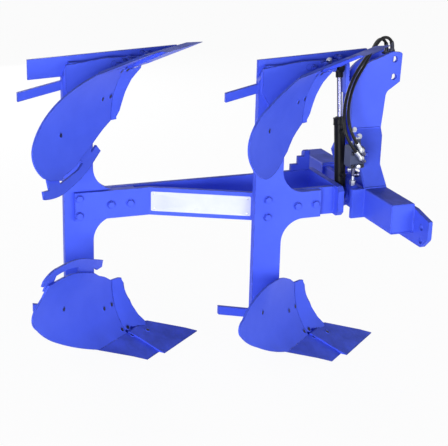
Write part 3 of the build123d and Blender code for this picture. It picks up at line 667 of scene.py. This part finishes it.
def leg_joint(node, leg_x, y, way):
    """The seats of one leg's four bolts, met by rays that start at y."""
    return [seat([node], at(leg_x + x, y, z), way) for x, z in FRAME_BOLTS]


heads = (leg_joint("beam_near_plate", REAR_LEG_X, -400, LEFT)
         + leg_joint("front_leg", FRONT_LEG_X, -400, LEFT))
nuts = (leg_joint("beam_far_plate", REAR_LEG_X, 400, -LEFT)
        + leg_joint("beam_near_plate", FRONT_LEG_X, 100, -LEFT))
fasteners("frame_bolts", heads, head_profile(FRAME_THREAD), "turning_frame", plough_blue, 48)
fasteners("frame_nuts", nuts, nut_profile(FRAME_THREAD), "turning_frame", plough_blue, 48)
print("frame bolts:", len(heads), "heads and", len(nuts), "nuts")

# %% [markdown]
# ## Plated bolts on the tower
# Two bolts on the tower's right side were put in after painting, and their plating shows bright
# against the blue. They stand one above the other over the valve.

# %% Tower bolts
tower_plates = ["tower_flare_right", "tower_head_right"]
bright = [seat(tower_plates, at(x, -400, z), LEFT) for x, z in ((1140, 268), (1156, 243))]
fasteners("tower_bolts", bright, head_profile(0.011), "headstock", fitting_zinc, 48)
print("tower bolts at heights", [spot[2].round(3) for spot, _ in bright])

# %% [markdown]
# ## Plough bolts
# Mouldboards and shares take the wear, so they are bolted on with sunk heads whose sockets look
# like small dark holes in the blue; each socket's floor is painted shade. A ring of paint stands
# round each socket. The seats are found by rays that come in square to the cutting edge, and the
# same rays, sent back from behind along each bolt, find the place of its nut.

# %% Plough bolts
BODY_TURN = math.radians(40)
ALONG = np.array([math.cos(BODY_TURN), math.sin(BODY_TURN), 0.0])
ACROSS = np.array([math.sin(BODY_TURN), -math.cos(BODY_TURN), 0.0])
SOLE_DROP = 622.0
FLIP = {"lower": 1, "upper": -1}
BODY_ORIGINS = {"rear": (REAR_LEG_X, 110.0), "front": (FRONT_LEG_X, -141.0)}
# along the cutting edge, and up from the level that the body is drawn from
SHARE_BOLTS = [(96, 80), (130, 79), (124, 53), (202, 53)]
BODY_BOLTS = {"rear": [(-227, 273), (36, 184), (90, 183)] + SHARE_BOLTS,
              "front": [(-185, 253), (39, 183), (97, 182)] + SHARE_BOLTS}
SOCKET_RING = [(0.0, -0.003), (0.0110, -0.003), (0.0118, 0.0002), (0.0112, 0.0016),
               (0.0098, 0.0021), (0.0086, 0.0017), (0.0080, 0.0004), (0.0, 0.0002)]
# The socket's floor is a dark disc that carries the painted shade.
SOCKET_FLOOR = [(0.0, SUNK), (0.0082, SUNK), (0.0082, 0.0007), (0.0074, 0.0010), (0.0, 0.0010)]
PLOUGH_THREAD = 0.012
NUT_RAY = 0.060


def body_place(kind, half, t, reach, height):
    """A place of one body: along its edge, square out from it, and up from its sole."""
    x0, y0 = BODY_ORIGINS[kind]
    spot = ALONG * t + ACROSS * reach
    return at(x0 + spot[0], y0 + spot[1], FLIP[half] * (height - SOLE_DROP))


def sunk_bolts(name, seats):
    """A ring of paint and a floor of painted shade on every seat of a sunk bolt."""
    fasteners(f"{name}_rings", seats, SOCKET_RING, "turning_frame", plough_blue)
    fasteners(f"{name}_sockets", seats, SOCKET_FLOOR, "turning_frame", socket_shade)


sockets, behind = [], []
for kind in BODY_ORIGINS:
    for half in FLIP:
        skins = [f"{kind}_{half}_{part}" for part in ("mouldboard", "shin", "share")]
        fronts = [seat(skins, body_place(kind, half, t, 600, h), -ACROSS)
                  for t, h in BODY_BOLTS[kind]]
        sockets += fronts
        behind += [seat(skins + [f"{kind}_{half}_frog"], spot - NUT_RAY * way, way)
                   for spot, way in fronts]
sunk_bolts("plough_bolt", sockets)
fasteners("plough_bolt_nuts", behind, nut_profile(PLOUGH_THREAD), "turning_frame", plough_blue)
print("plough bolts:", len(sockets))

# %% [markdown]
# ## Landside bolts
# The landside slides along the furrow wall, so its bolts are sunk on the outside in the same way.
# Their nuts stand in a row on the inside of the frog, where they show beside the mouldboard. One
# nut was replaced and never painted.

# %% Landside bolts
LAND_BOLTS = {"rear": [(164, 58), (187, 45), (207, 37), (274, 26)],
              "front": [(169, 54), (203, 42), (233, 31), (284, 28)]}
NEW_NUT = 14  # the third nut on the front upper body
outside, inside = [], []
for kind, (x0, y0) in BODY_ORIGINS.items():
    for half, flip in FLIP.items():
        plates = [f"{kind}_{half}_landside", f"{kind}_{half}_frog"]
        for x, h in LAND_BOLTS[kind]:
            outside.append(seat(plates, at(x0 + x, y0 + 200, flip * (h - SOLE_DROP)), -LEFT))
            inside.append(seat(plates, at(x0 + x, y0 - 46, flip * (h - SOLE_DROP)), LEFT))
new_nut = inside.pop(NEW_NUT)
sunk_bolts("landside_bolt", outside)
fasteners("landside_nuts", inside, nut_profile(PLOUGH_THREAD), "turning_frame", plough_blue)
fasteners("landside_new_nut", [new_nut], nut_profile(0.011), "turning_frame", fitting_zinc)
print("landside bolts:", len(outside))

# %% [markdown]
# ## Weld beads
# A plough is welded together from plate, and the row of ripples along a joint is what tells a
# weld from two plates that only touch. A bead is a thin tube along the joint, half buried in
# both plates, whose radius swells once for every step of the welder's hand. Its ends taper off.

# %% Helper: a weld bead
BEAD, RIPPLE, ROUND = 0.0045, 0.0045, 8


def walked(line):
    """The distance from a line's start to each of its points."""
    return np.concatenate([[0.0], np.cumsum(np.linalg.norm(np.diff(line, axis=0), axis=1))])


def on_line(line, s):
    """The line's points at the distances s from its start."""
    marks = walked(line)
    return np.stack([np.interp(s, marks, line[:, k]) for k in range(3)], -1)


def rings_along(centres, ahead, over, radii):
    """Rings square to `ahead`: centre + radius·(cos·side + sin·lift), side square to `over`."""
    side = unit(np.cross(ahead, over))
    lift = np.cross(side, ahead)
    angle = (np.arange(radii.shape[1]) * 2 * np.pi / radii.shape[1])[:, None]
    ring = np.cos(angle) * side[:, None] + np.sin(angle) * lift[:, None]
    return (centres[:, None] + radii[:, :, None] * ring).reshape(-1, 3), sheet_faces(*radii.shape)


def weld(corners, over, size=BEAD):
    """A row of weld ripples along a line of corners, in metres; `over` is square to the line.

    At distance s the section is a circle of radius size·(0.84 + 0.16·|sin(pi·s / ripple)|), which
    shrinks to nothing over the last size and a half at both ends."""
    corners = np.asarray(corners, float)
    length = walked(corners)[-1]
    s = np.linspace(0.0, length, max(9, int(3 * length / RIPPLE)))
    line = on_line(corners, s)
    near_end = np.clip(np.minimum(s, length - s) / (1.5 * size), 0.0, 1.0)
    radius = size * (0.84 + 0.16 * np.abs(np.sin(np.pi * s / RIPPLE)))
    radius *= np.sqrt(near_end * (2 - near_end))
    ahead = unit(np.gradient(line, axis=0))
    return rings_along(line, ahead, over, np.repeat(radius[:, None], ROUND, axis=1))


def run(start, end, over, size=BEAD):
    """A straight bead between two beam places."""
    return weld([at(*start), at(*end)], over, size)


def arc_places(x, y, z, radius, start, stop, steps=48):
    """Beam places on an arc in a plane across the beam; degrees from the left, upward."""
    angle = np.radians(np.linspace(start, stop, steps))
    return at(x, y + radius * np.cos(angle), z + radius * np.sin(angle))


print("a 100 mm bead has", len(run((0, 0, 0), (100, 0, 0), UP)[1]), "quads")

# %% [markdown]
# ## Welds of the turning frame
# Both beam plates are welded to the turning head. The crank and the shaft are welded to the
# head's front, the frogs to the legs, and a short flat bar to each leg's rear edge.

# %% Welds on the turning frame
HEAD_REAR = 1024
NEAR_PLATE, FAR_PLATE = (-126, -106), (125, 145)
SHAFT_BOSS, PIN_BOSS, CRANK_R = 42, 22, 72
LEG_REAR, LEG_HALF = -55, 8
HEEL_BARS = ((-1, 450.4), (1, 490.4))
FROG_FOOT = [(-43, 62), (-43, 150), (10, 235), (60, 235)]

beads = [run((HEAD_REAR, y, -56), (HEAD_REAR, y, 56), LEFT) for y in NEAR_PLATE + FAR_PLATE]
beads += [run((946, y, 58), (HEAD_REAR, y, 58), LEFT, 0.004) for y in FAR_PLATE]
beads += [run((HEAD_REAR, 127, 62), (HEAD_REAR, 143, 62), UP, 0.004)]
tangent = math.degrees(math.acos((SHAFT_BOSS - PIN_BOSS) / CRANK_R))
crank = np.concatenate([
    arc_places(HEAD_FRONT, 0, 0, SHAFT_BOSS, 180 + tangent, 540 - tangent),
    arc_places(HEAD_FRONT, -CRANK_R, 0, PIN_BOSS, 180 - tangent, 180 + tangent, 24)])
beads.append(weld(np.concatenate([crank, crank[:1]]), FORWARD, 0.0032))
for x0, y0 in BODY_ORIGINS.values():
    rear, sides = x0 + LEG_REAR, (y0 - LEG_HALF, y0 + LEG_HALF)
    for flip, drop in HEEL_BARS:
        beads += [run((rear, y, flip * (drop - 17)), (rear, y, flip * (drop + 17)), LEFT)
                  for y in sides]
        beads += [run((rear, sides[0], flip * drop + z), (rear, sides[1], flip * drop + z), UP)
                  for z in (-17.9, 17.9)]
        beads.append(weld([at(x0 + x, y0 - 15, flip * (SOLE_DROP - h)) for x, h in FROG_FOOT],
                          LEFT))
make_piece("frame_welds", together(beads), "turning_frame", plough_blue)
print("beads on the turning frame:", len(beads))

# %% [markdown]
# ## Welds of the headstock
# The tower plates are made of courses that are bent and butted together. The housing runs through
# two cross plates, the cross beams stand against the cheeks with closed ends, and the hitch plates
# are welded flat on the beams' front faces.

# %% Welds on the headstock
CHEEK_OUT, CHEEK_IN = 195, 179
TOWER_OUT, TOWER_IN = 43, 27
PLATES_X = (1125, 1224)
FINE = 0.0035
BEAM_CAP = [(1134, -61), (1222, -61), (1227, -56), (1227, 50), (1222, 55), (1134, 55), (1129, 50),
            (1129, -56), (1134, -61)]
HITCH_FOOT = [(424, -64), (312, -64), (312, 36), (424, 36), (424, -64)]

beads = []
for side in (-1, 1):
    out, inner = side * TOWER_OUT, side * TOWER_IN
    cheek = side * CHEEK_OUT
    beads += [run((1130 if side < 0 else 1182, cheek, 60), (1224, cheek, 60), UP),
              run((1130, out, 270), (1262, out, 270), UP),
              run((1130, inner, 270), (1262, inner, 270), UP, FINE)]
    beads += [run((x, side * CHEEK_IN, -56), (x, side * CHEEK_IN, 50), FORWARD) for x in PLATES_X]
    beads.append(weld([at(1126, cheek, -60), at(1126, cheek, 58), at(1226, cheek, 58)], LEFT))
    beads.append(weld([at(x, side * 424, z) for x, z in BEAM_CAP], LEFT, FINE))
    beads.append(weld([at(1230, side * y, z) for y, z in HITCH_FOOT], FORWARD))
    beads += [run((1126, inner, z), (1178, inner, z), UP, FINE) for z in (420, 470)]
    beads.append(run((1180, side * 155, 94), (1180, side * 52, 236), FORWARD, 0.004))
beads += [weld(arc_places(x, 0, 0, 66, 0, 360, 96), FORWARD) for x in PLATES_X]
beads += [run((1130, y, z), (1170, y, z), UP, 0.003) for y, z in ((-102.4, 188), (-112.5, 174))]
make_piece("headstock_welds", together(beads), "headstock", plough_blue)
print("beads on the headstock:", len(beads))

# %% [markdown]
# ## End of the turnover shaft
# The collar that keeps the shaft in its housing is held by a ring of cap screws. A grease nipple
# in its middle feeds the long bearing, and two more stand on the housing. A cap screw is a short
# cylinder with a hexagon socket: the profile turns in over a rounded rim and down to its floor.

# %% Shaft end
CAP_SCREW = [(0.0, -0.002), (0.0078, -0.002), (0.0078, 0.0062), (0.0070, 0.0070),
             (0.0052, 0.0070), (0.0046, 0.0062, 0.0040), (0.0046, 0.0024, 0.0040), (0.0, 0.0024)]
NIPPLE = [(0.0, -0.002), (0.0062, -0.002, 0.0050), (0.0062, 0.0050, 0.0050), (0.0040, 0.0058),
          (0.0036, 0.0092), (0.0044, 0.0108), (0.0040, 0.0128), (0.0022, 0.0140), (0.0, 0.0142)]
COLLAR_END, SCREW_CIRCLE = 1244, 46
angle = np.radians(30 + 60 * np.arange(6))
ring = at(COLLAR_END, SCREW_CIRCLE * np.cos(angle), SCREW_CIRCLE * np.sin(angle))
fasteners("collar_screws", [(place, FORWARD) for place in ring], CAP_SCREW, "turning_frame",
          dark_steel)
fasteners("shaft_nipple", [(at(COLLAR_END, 0, 0), FORWARD)], NIPPLE, "turning_frame",
          fitting_zinc)
oiled = [seat(["pivot_housing"], at(1175, 0, side * 200), -side * UP) for side in (1, -1)]
fasteners("housing_nipples", oiled, NIPPLE, "headstock", fitting_zinc)
print("collar screws:", len(ring))

# %% [markdown]
# ## The cylinder
# A gland nut closes the tube at the top, with a rubber wiper round the rod. Two ports are welded
# to the tube's side, and each holds a plug with a hexagon. A line along the cylinder, from its
# lower pin to its upper pin, gives the direction of all of these.

# %% Cylinder details
CYL_X, ROD_PIN_Z = 1078.0, 526.0
TUBE_R = 0.0225
WIPER = [(0.0108, -0.002), (0.0190, -0.002), (0.0190, 0.0030), (0.0160, 0.0055),
         (0.0120, 0.0062), (0.0108, 0.0050)]
GLAND_RING = [(0.0235, 0.0), (0.0262, 0.0), (0.0268, 0.0008), (0.0268, 0.0042),
              (0.0262, 0.0050), (0.0235, 0.0050)]
PORT = [(0.0, -0.004), (0.0125, -0.004), (0.0125, 0.0), (0.0112, 0.0012), (0.0112, 0.0086),
        (0.0104, 0.0096), (0.0, 0.0096)]
PLUG = [(0.0, 0.006), (0.0094, 0.006), (0.0098, 0.0104), (0.0098, 0.0120, 0.0086),
        (0.0098, 0.0164, 0.0086), (0.0086, 0.0180, 0.0086), (0.0060, 0.0184), (0.0, 0.0184)]
lower_pin, upper_pin = at(CYL_X, -CRANK_R, 0), at(CYL_X, 0, ROD_PIN_Z)
up_cylinder = unit(upper_pin - lower_pin)
out_cylinder = np.cross(FORWARD, up_cylinder)


def up_tube(distance):
    """A place on the cylinder's middle line, this far above its lower pin."""
    return lower_pin + distance * up_cylinder


make_piece("rod_wiper", ring_shape(WIPER, up_tube(0.322), up_cylinder), "cylinder_barrel",
           hose_rubber, sharp=40)
rings = [ring_shape(GLAND_RING, up_tube(distance), up_cylinder) for distance in (0.293, 0.3175)]
make_piece("gland_rings", together(rings), "cylinder_barrel", cylinder_black, sharp=40)
ports = [(up_tube(distance) + TUBE_R * out_cylinder, out_cylinder) for distance in (0.088, 0.268)]
fasteners("cylinder_ports", ports, PORT, "cylinder_barrel", cylinder_black, 36)
fasteners("port_plugs", ports, PLUG, "cylinder_barrel", cylinder_black)
print("cylinder leans", round(math.degrees(math.acos(up_cylinder[2])), 2), "degrees")

# %% [markdown]
# ## The rod's pin
# The pin that the rod hangs on has a broad blue head toward the plough, and a small plated screw
# in the head's middle holds it.

# %% Rod pin
PIN_HEAD = [(0.0, 0.0), (0.0185, 0.0), (0.0200, 0.0012), (0.0200, 0.0060), (0.0188, 0.0076),
            (0.0, 0.0080)]
PIN_END, PIN_HEAD_TOP = at(1058.5, 0, ROD_PIN_Z), at(1051, 0, ROD_PIN_Z)
fasteners("pin_head", [(PIN_END, -FORWARD)], PIN_HEAD, "cylinder_rod", plough_blue, 48)
fasteners("pin_screw", [(PIN_HEAD_TOP, -FORWARD)], head_profile(0.007), "cylinder_rod",
          fitting_zinc)
print("pin head at", PIN_HEAD_TOP.round(3))

# %% [markdown]
# ## Valve block
# A cartridge stands in the block's top under a grey cap, an adjusting screw with its lock nut
# beside it. Cap screws hold the block to its shelf, and the ports that are not used are closed
# with plated plugs. A test coupling with its hexagon cap hangs under the block.

# %% Valve details
CARTRIDGE = [(0.0, -0.002), (0.0150, -0.002), (0.0150, 0.0060, 0.0130), (0.0150, 0.0100, 0.0130),
             (0.0122, 0.0112), (0.0122, 0.0250), (0.0112, 0.0272), (0.0040, 0.0280), (0.0, 0.0280)]
CARTRIDGE_NUT = [(0.0, -0.002), (0.0094, -0.002, 0.0082), (0.0094, 0.0060, 0.0082),
                 (0.0082, 0.0070, 0.0082), (0.0, 0.0072)]
ADJUSTER = [(0.0, -0.002), (0.0080, -0.002), (0.0080, 0.0046, 0.0068), (0.0080, 0.0060, 0.0068),
            (0.0036, 0.0064), (0.0036, 0.0180), (0.0028, 0.0190), (0.0, 0.0190)]
TAIL = [(0.0, -0.002), (0.0062, -0.002), (0.0062, 0.0150), (0.0100, 0.0165),
        (0.0136, 0.0170, 0.0118), (0.0136, 0.0330, 0.0118), (0.0118, 0.0350, 0.0118),
        (0.0070, 0.0356), (0.0070, 0.0392), (0.0, 0.0396)]
SIDE_Y, MIDDLE_Y, ROOF_Z, FLOOR_Z = -178, -150, 232, 142

standing = [("valve_cartridge", (1104, ROOF_Z), UP, CARTRIDGE, valve_grey, 36),
            ("cartridge_nut", (1104, ROOF_Z + 28), UP, CARTRIDGE_NUT, fitting_zinc, 24),
            ("valve_tail", (1092, 102), -UP, TAIL, fitting_zinc, 36),
            ("valve_adjuster", (1078, ROOF_Z), UP, ADJUSTER, fitting_zinc, 24)]
for name, (x, z), way, profile, finish, sides in standing:
    fasteners(name, [(at(x, MIDDLE_Y, z), way)], profile, "headstock", finish, sides)
screws = [(at(x, SIDE_Y, z), -LEFT) for x in (1072, 1115) for z in (152, 207)]
fasteners("valve_screws", screws, CAP_SCREW, "headstock", dark_steel)
plugs = [(at(1090, SIDE_Y - 2, 154), -LEFT), (at(1073, MIDDLE_Y, FLOOR_Z + 1), -UP)]
fasteners("valve_plugs", plugs, PLUG, "headstock", fitting_zinc)
print("valve screws:", len(screws), "plugs:", len(plugs))

# %% [markdown]
# ## Ends of the hoses
# A hose ends in a crimped sleeve: a plated tube pressed on to the rubber in a row of shallow
# rings, then a union nut that screws on to the elbow or the coupler. At the elbows the plating is
# bright, at the couplers it has gone dark. The sleeves follow the hose, so their middle line is
# read back from the same curve that draws it.

# %% Hose ends
def middle_line(route):
    """Points read from the hose's own curve, made once more without its round section."""
    spare = hose_curve("spare_line", route)
    spare.data.bevel_depth = 0.0
    mesh = bpy.data.meshes.new_from_object(spare)
    line = np.array([vertex.co[:] for vertex in mesh.vertices])
    data = spare.data
    bpy.data.objects.remove(spare)
    bpy.data.curves.remove(data)
    bpy.data.meshes.remove(mesh)
    return line


def sleeve(line, profile, sides=36, span=0.002):
    """A tube along a line: rows (radius, distance, flat), each a ring square to the line there.

    The row's centre is the line's point at that distance from its start, or straight back from
    the start where the distance is negative. A row may be cut by six flats, as on a nut."""
    s = np.array([row[1] for row in profile])
    first = unit(line[1] - line[0])
    centres = on_line(line, s) + np.minimum(s, 0)[:, None] * first
    ahead = unit(on_line(line, np.maximum(s, 0) + span) - on_line(line, np.maximum(s, 0) - span))
    return rings_along(centres, ahead, basis(first)[0], ring_radii(profile, sides))


crimps = [(0.0090 - 0.0007 * (step % 2), 0.006 + 0.0022 * step) for step in range(13)]
SLEEVE = [(0.0, -0.010), (0.0104, -0.010), (0.0120, -0.009, 0.0104), (0.0120, 0.001, 0.0104),
          (0.0096, 0.0025), (0.0092, 0.0045), *crimps, (0.0082, 0.0350), (0.0, 0.0352)]
for number, route in enumerate(HOSE_ROUTES, 1):
    line = middle_line(route)
    for place, way, metal in (("low", line, fitting_zinc), ("high", line[::-1], dark_steel)):
        make_piece(f"hose_end_{number}_{place}", sleeve(way, SLEEVE), "headstock", metal,
                   sharp=35)
print("hose ends:", 2 * len(HOSE_ROUTES), "each", 1000 * SLEEVE[-2][1], "mm over the hose")

# %% [markdown]
# ## The blank name board
# A thin enamelled sheet with rounded corners lies on the near plate's slanting stretch, between
# the legs. It is a rounded rectangle with a thickness, held by four rivets, and it is left bare.

# %% Name board
def rounded_outline(width, height, radius, steps=8):
    """A closed outline: four quarter circles, each centre + radius·(cos, sin) over its quarter."""
    angle = np.linspace(0, np.pi / 2, steps)[None] + np.arange(4)[:, None] * np.pi / 2
    signs = np.array([(1, 1), (-1, 1), (-1, -1), (1, -1)])
    centres = (signs * (width / 2 - radius, height / 2 - radius))[:, None]
    return (centres + radius * np.stack([np.cos(angle), np.sin(angle)], -1)).reshape(-1, 2)


def board(low, high, height, thickness=0.0014, radius=0.006):
    """A sheet that stands upright on the line from low to high.

    Each ring of points is the outline times a share, lifted off the plate: full size at the foot
    and the edge, a little less on the face, and nothing at the two middles, which close it."""
    along = unit(high - low)
    out = np.cross(along, UP)
    outline = rounded_outline(np.linalg.norm(high - low), height, radius)
    share = np.array([0.0, 1.0, 1.0, 0.994, 0.0])[:, None, None]
    lift = np.array([0.0, 0.0, 0.6, 1.0, 1.0])[:, None, None] * thickness
    flat = outline[None, :, :1] * along + outline[None, :, 1:] * UP
    points = (low + high) / 2 + flat * share + lift * out
    return points.reshape(-1, 3), sheet_faces(5, len(outline))


RIVET = [(0.0, 0.0), (0.0042, 0.0), (0.0042, 0.0016), (0.0036, 0.0026), (0.0020, 0.0034),
         (0.0, 0.0036)]
BOARD_FROM, BOARD_TO, BOARD_TALL = 298, 660, 0.082
RIVET_IN, RIVET_UP = 12, 31
low, high = [seat(["beam_near_plate"], at(x, -300, 0), LEFT)[0] for x in (BOARD_FROM, BOARD_TO)]
make_piece("name_board", board(low, high, BOARD_TALL), "turning_frame", board_enamel, sharp=30)
rivets = [seat(["beam_near_plate"], at(x, -300, z), LEFT)
          for x in (BOARD_FROM + RIVET_IN, BOARD_TO - RIVET_IN) for z in (-RIVET_UP, RIVET_UP)]
fasteners("board_rivets", rivets, RIVET, "turning_frame", fitting_zinc, 20)
print("name board from", low.round(3), "to", high.round(3))

# %% [markdown]
# ## Floor and light
# A pale floor catches the shadow and melts into a white background. Its material is plain white
# to the camera and in reflections, and a small share of ordinary white keeps the shadow on it.

# %% Floor
def pale_floor(sides=64):
    """A wide disc on the ground: rings of growing radius, so that its middle is finely divided."""
    angle = np.arange(sides) * 2 * np.pi / sides
    radii = np.array([0.001, 1.0, 3.0, 9.0, 24.0])[:, None, None]
    grid = radii * np.stack([np.cos(angle), np.sin(angle), np.zeros(sides)], -1)
    mesh = bpy.data.meshes.new("floor")
    mesh.from_pydata(grid.reshape(-1, 3).tolist(), [], sheet_faces(len(radii), sides).tolist())
    floor = bpy.data.objects.new("floor", mesh)
    bpy.context.scene.collection.objects.link(floor)
    return floor


def seen_directly(tree):
    """1 for rays from the camera, from gloss and through glass, 0 for those that carry light."""
    path = tree.nodes.new("ShaderNodeLightPath")
    seen = combined(tree, "MAXIMUM", path.outputs["Is Camera Ray"], path.outputs["Is Glossy Ray"])
    return combined(tree, "MAXIMUM", seen, path.outputs["Is Transmission Ray"])


def background_finish():
    """White to the camera, to gloss and through glass; a diffuse share keeps the shadow."""
    finish, tree, shader = new_finish("pale floor", (0.9, 0.9, 0.92), 0.9)
    seen = seen_directly(tree)
    glow = tree.nodes.new("ShaderNodeEmission")
    glow.inputs["Color"].default_value = (1.0, 1.0, 1.0, 1.0)
    mix = tree.nodes.new("ShaderNodeMixShader")
    tree.links.new(combined(tree, "MULTIPLY", seen, 0.95), mix.inputs[0])
    tree.links.new(shader.outputs[0], mix.inputs[1])
    tree.links.new(glow.outputs[0], mix.inputs[2])
    tree.links.new(mix.outputs[0], tree.nodes["Material Output"].inputs["Surface"])
    return finish


floor = pale_floor()
floor.data.materials.append(background_finish())
print("floor:", len(floor.data.polygons), "faces")

# %% [markdown]
# ## Sky
# The sky gives the shaded sides their light, and only a little of it, so that the plates keep
# their form. What the eye and polished metal see of it is plain white.

# %% Sky
world = bpy.data.worlds.new("studio")
bpy.context.scene.world = world
world.use_nodes = True
sky = world.node_tree
dim = sky.nodes["Background"]
dim.inputs["Color"].default_value = (0.93, 0.95, 1.0, 1.0)
dim.inputs["Strength"].default_value = 0.28
white = sky.nodes.new("ShaderNodeBackground")
white.inputs["Color"].default_value = (1.0, 1.0, 1.0, 1.0)
mix = sky.nodes.new("ShaderNodeMixShader")
sky.links.new(seen_directly(sky), mix.inputs[0])
sky.links.new(dim.outputs[0], mix.inputs[1])
sky.links.new(white.outputs[0], mix.inputs[2])
sky.links.new(mix.outputs[0], sky.nodes["World Output"].inputs["Surface"])
print("sky strength:", round(dim.inputs["Strength"].default_value, 2))

# %% [markdown]
# ## Lamps
# One large soft lamp stands low at the left of the camera and lights the upright faces; a weaker
# one at the right keeps the hitch from going dark, and one behind lights the plough's land side.
# All are wide, so that shadows stay soft.

# %% Lamps
def soft_lamp(name, place, target, size, power):
    """A square lamp that looks at a target."""
    data = bpy.data.lights.new(name, "AREA")
    data.shape = "SQUARE"
    data.size = size
    data.energy = power
    lamp = bpy.data.objects.new(name, data)
    lamp.location = place
    lamp.rotation_euler = (Vector(target) - Vector(place)).to_track_quat("-Z", "Y").to_euler()
    bpy.context.scene.collection.objects.link(lamp)
    return lamp


MIDDLE = at(500, 0, 0)
LAMPS = {"front lamp": ((-4.3, -6.0, 0.9), 2.4, 442),
         "side lamp": ((2.6, -5.6, 1.1), 2.2, 135),
         "back lamp": ((-0.6, 5.6, 1.6), 2.6, 150)}
for name, (place, size, power) in LAMPS.items():
    soft_lamp(name, place, MIDDLE, size, power)
bpy.context.scene.view_settings.view_transform = "Standard"
print("lamps:", [light.name for light in bpy.data.lights])

# %% [markdown]
# A hose is a fixed length of something that bends. Each hose's first route point is turned into a
# point of the imported frame.

# %% Cords
for hose, route, length in zip(hoses, HOSE_ROUTES, HOSE_LENGTHS):
    tuple(at(*route[0]))
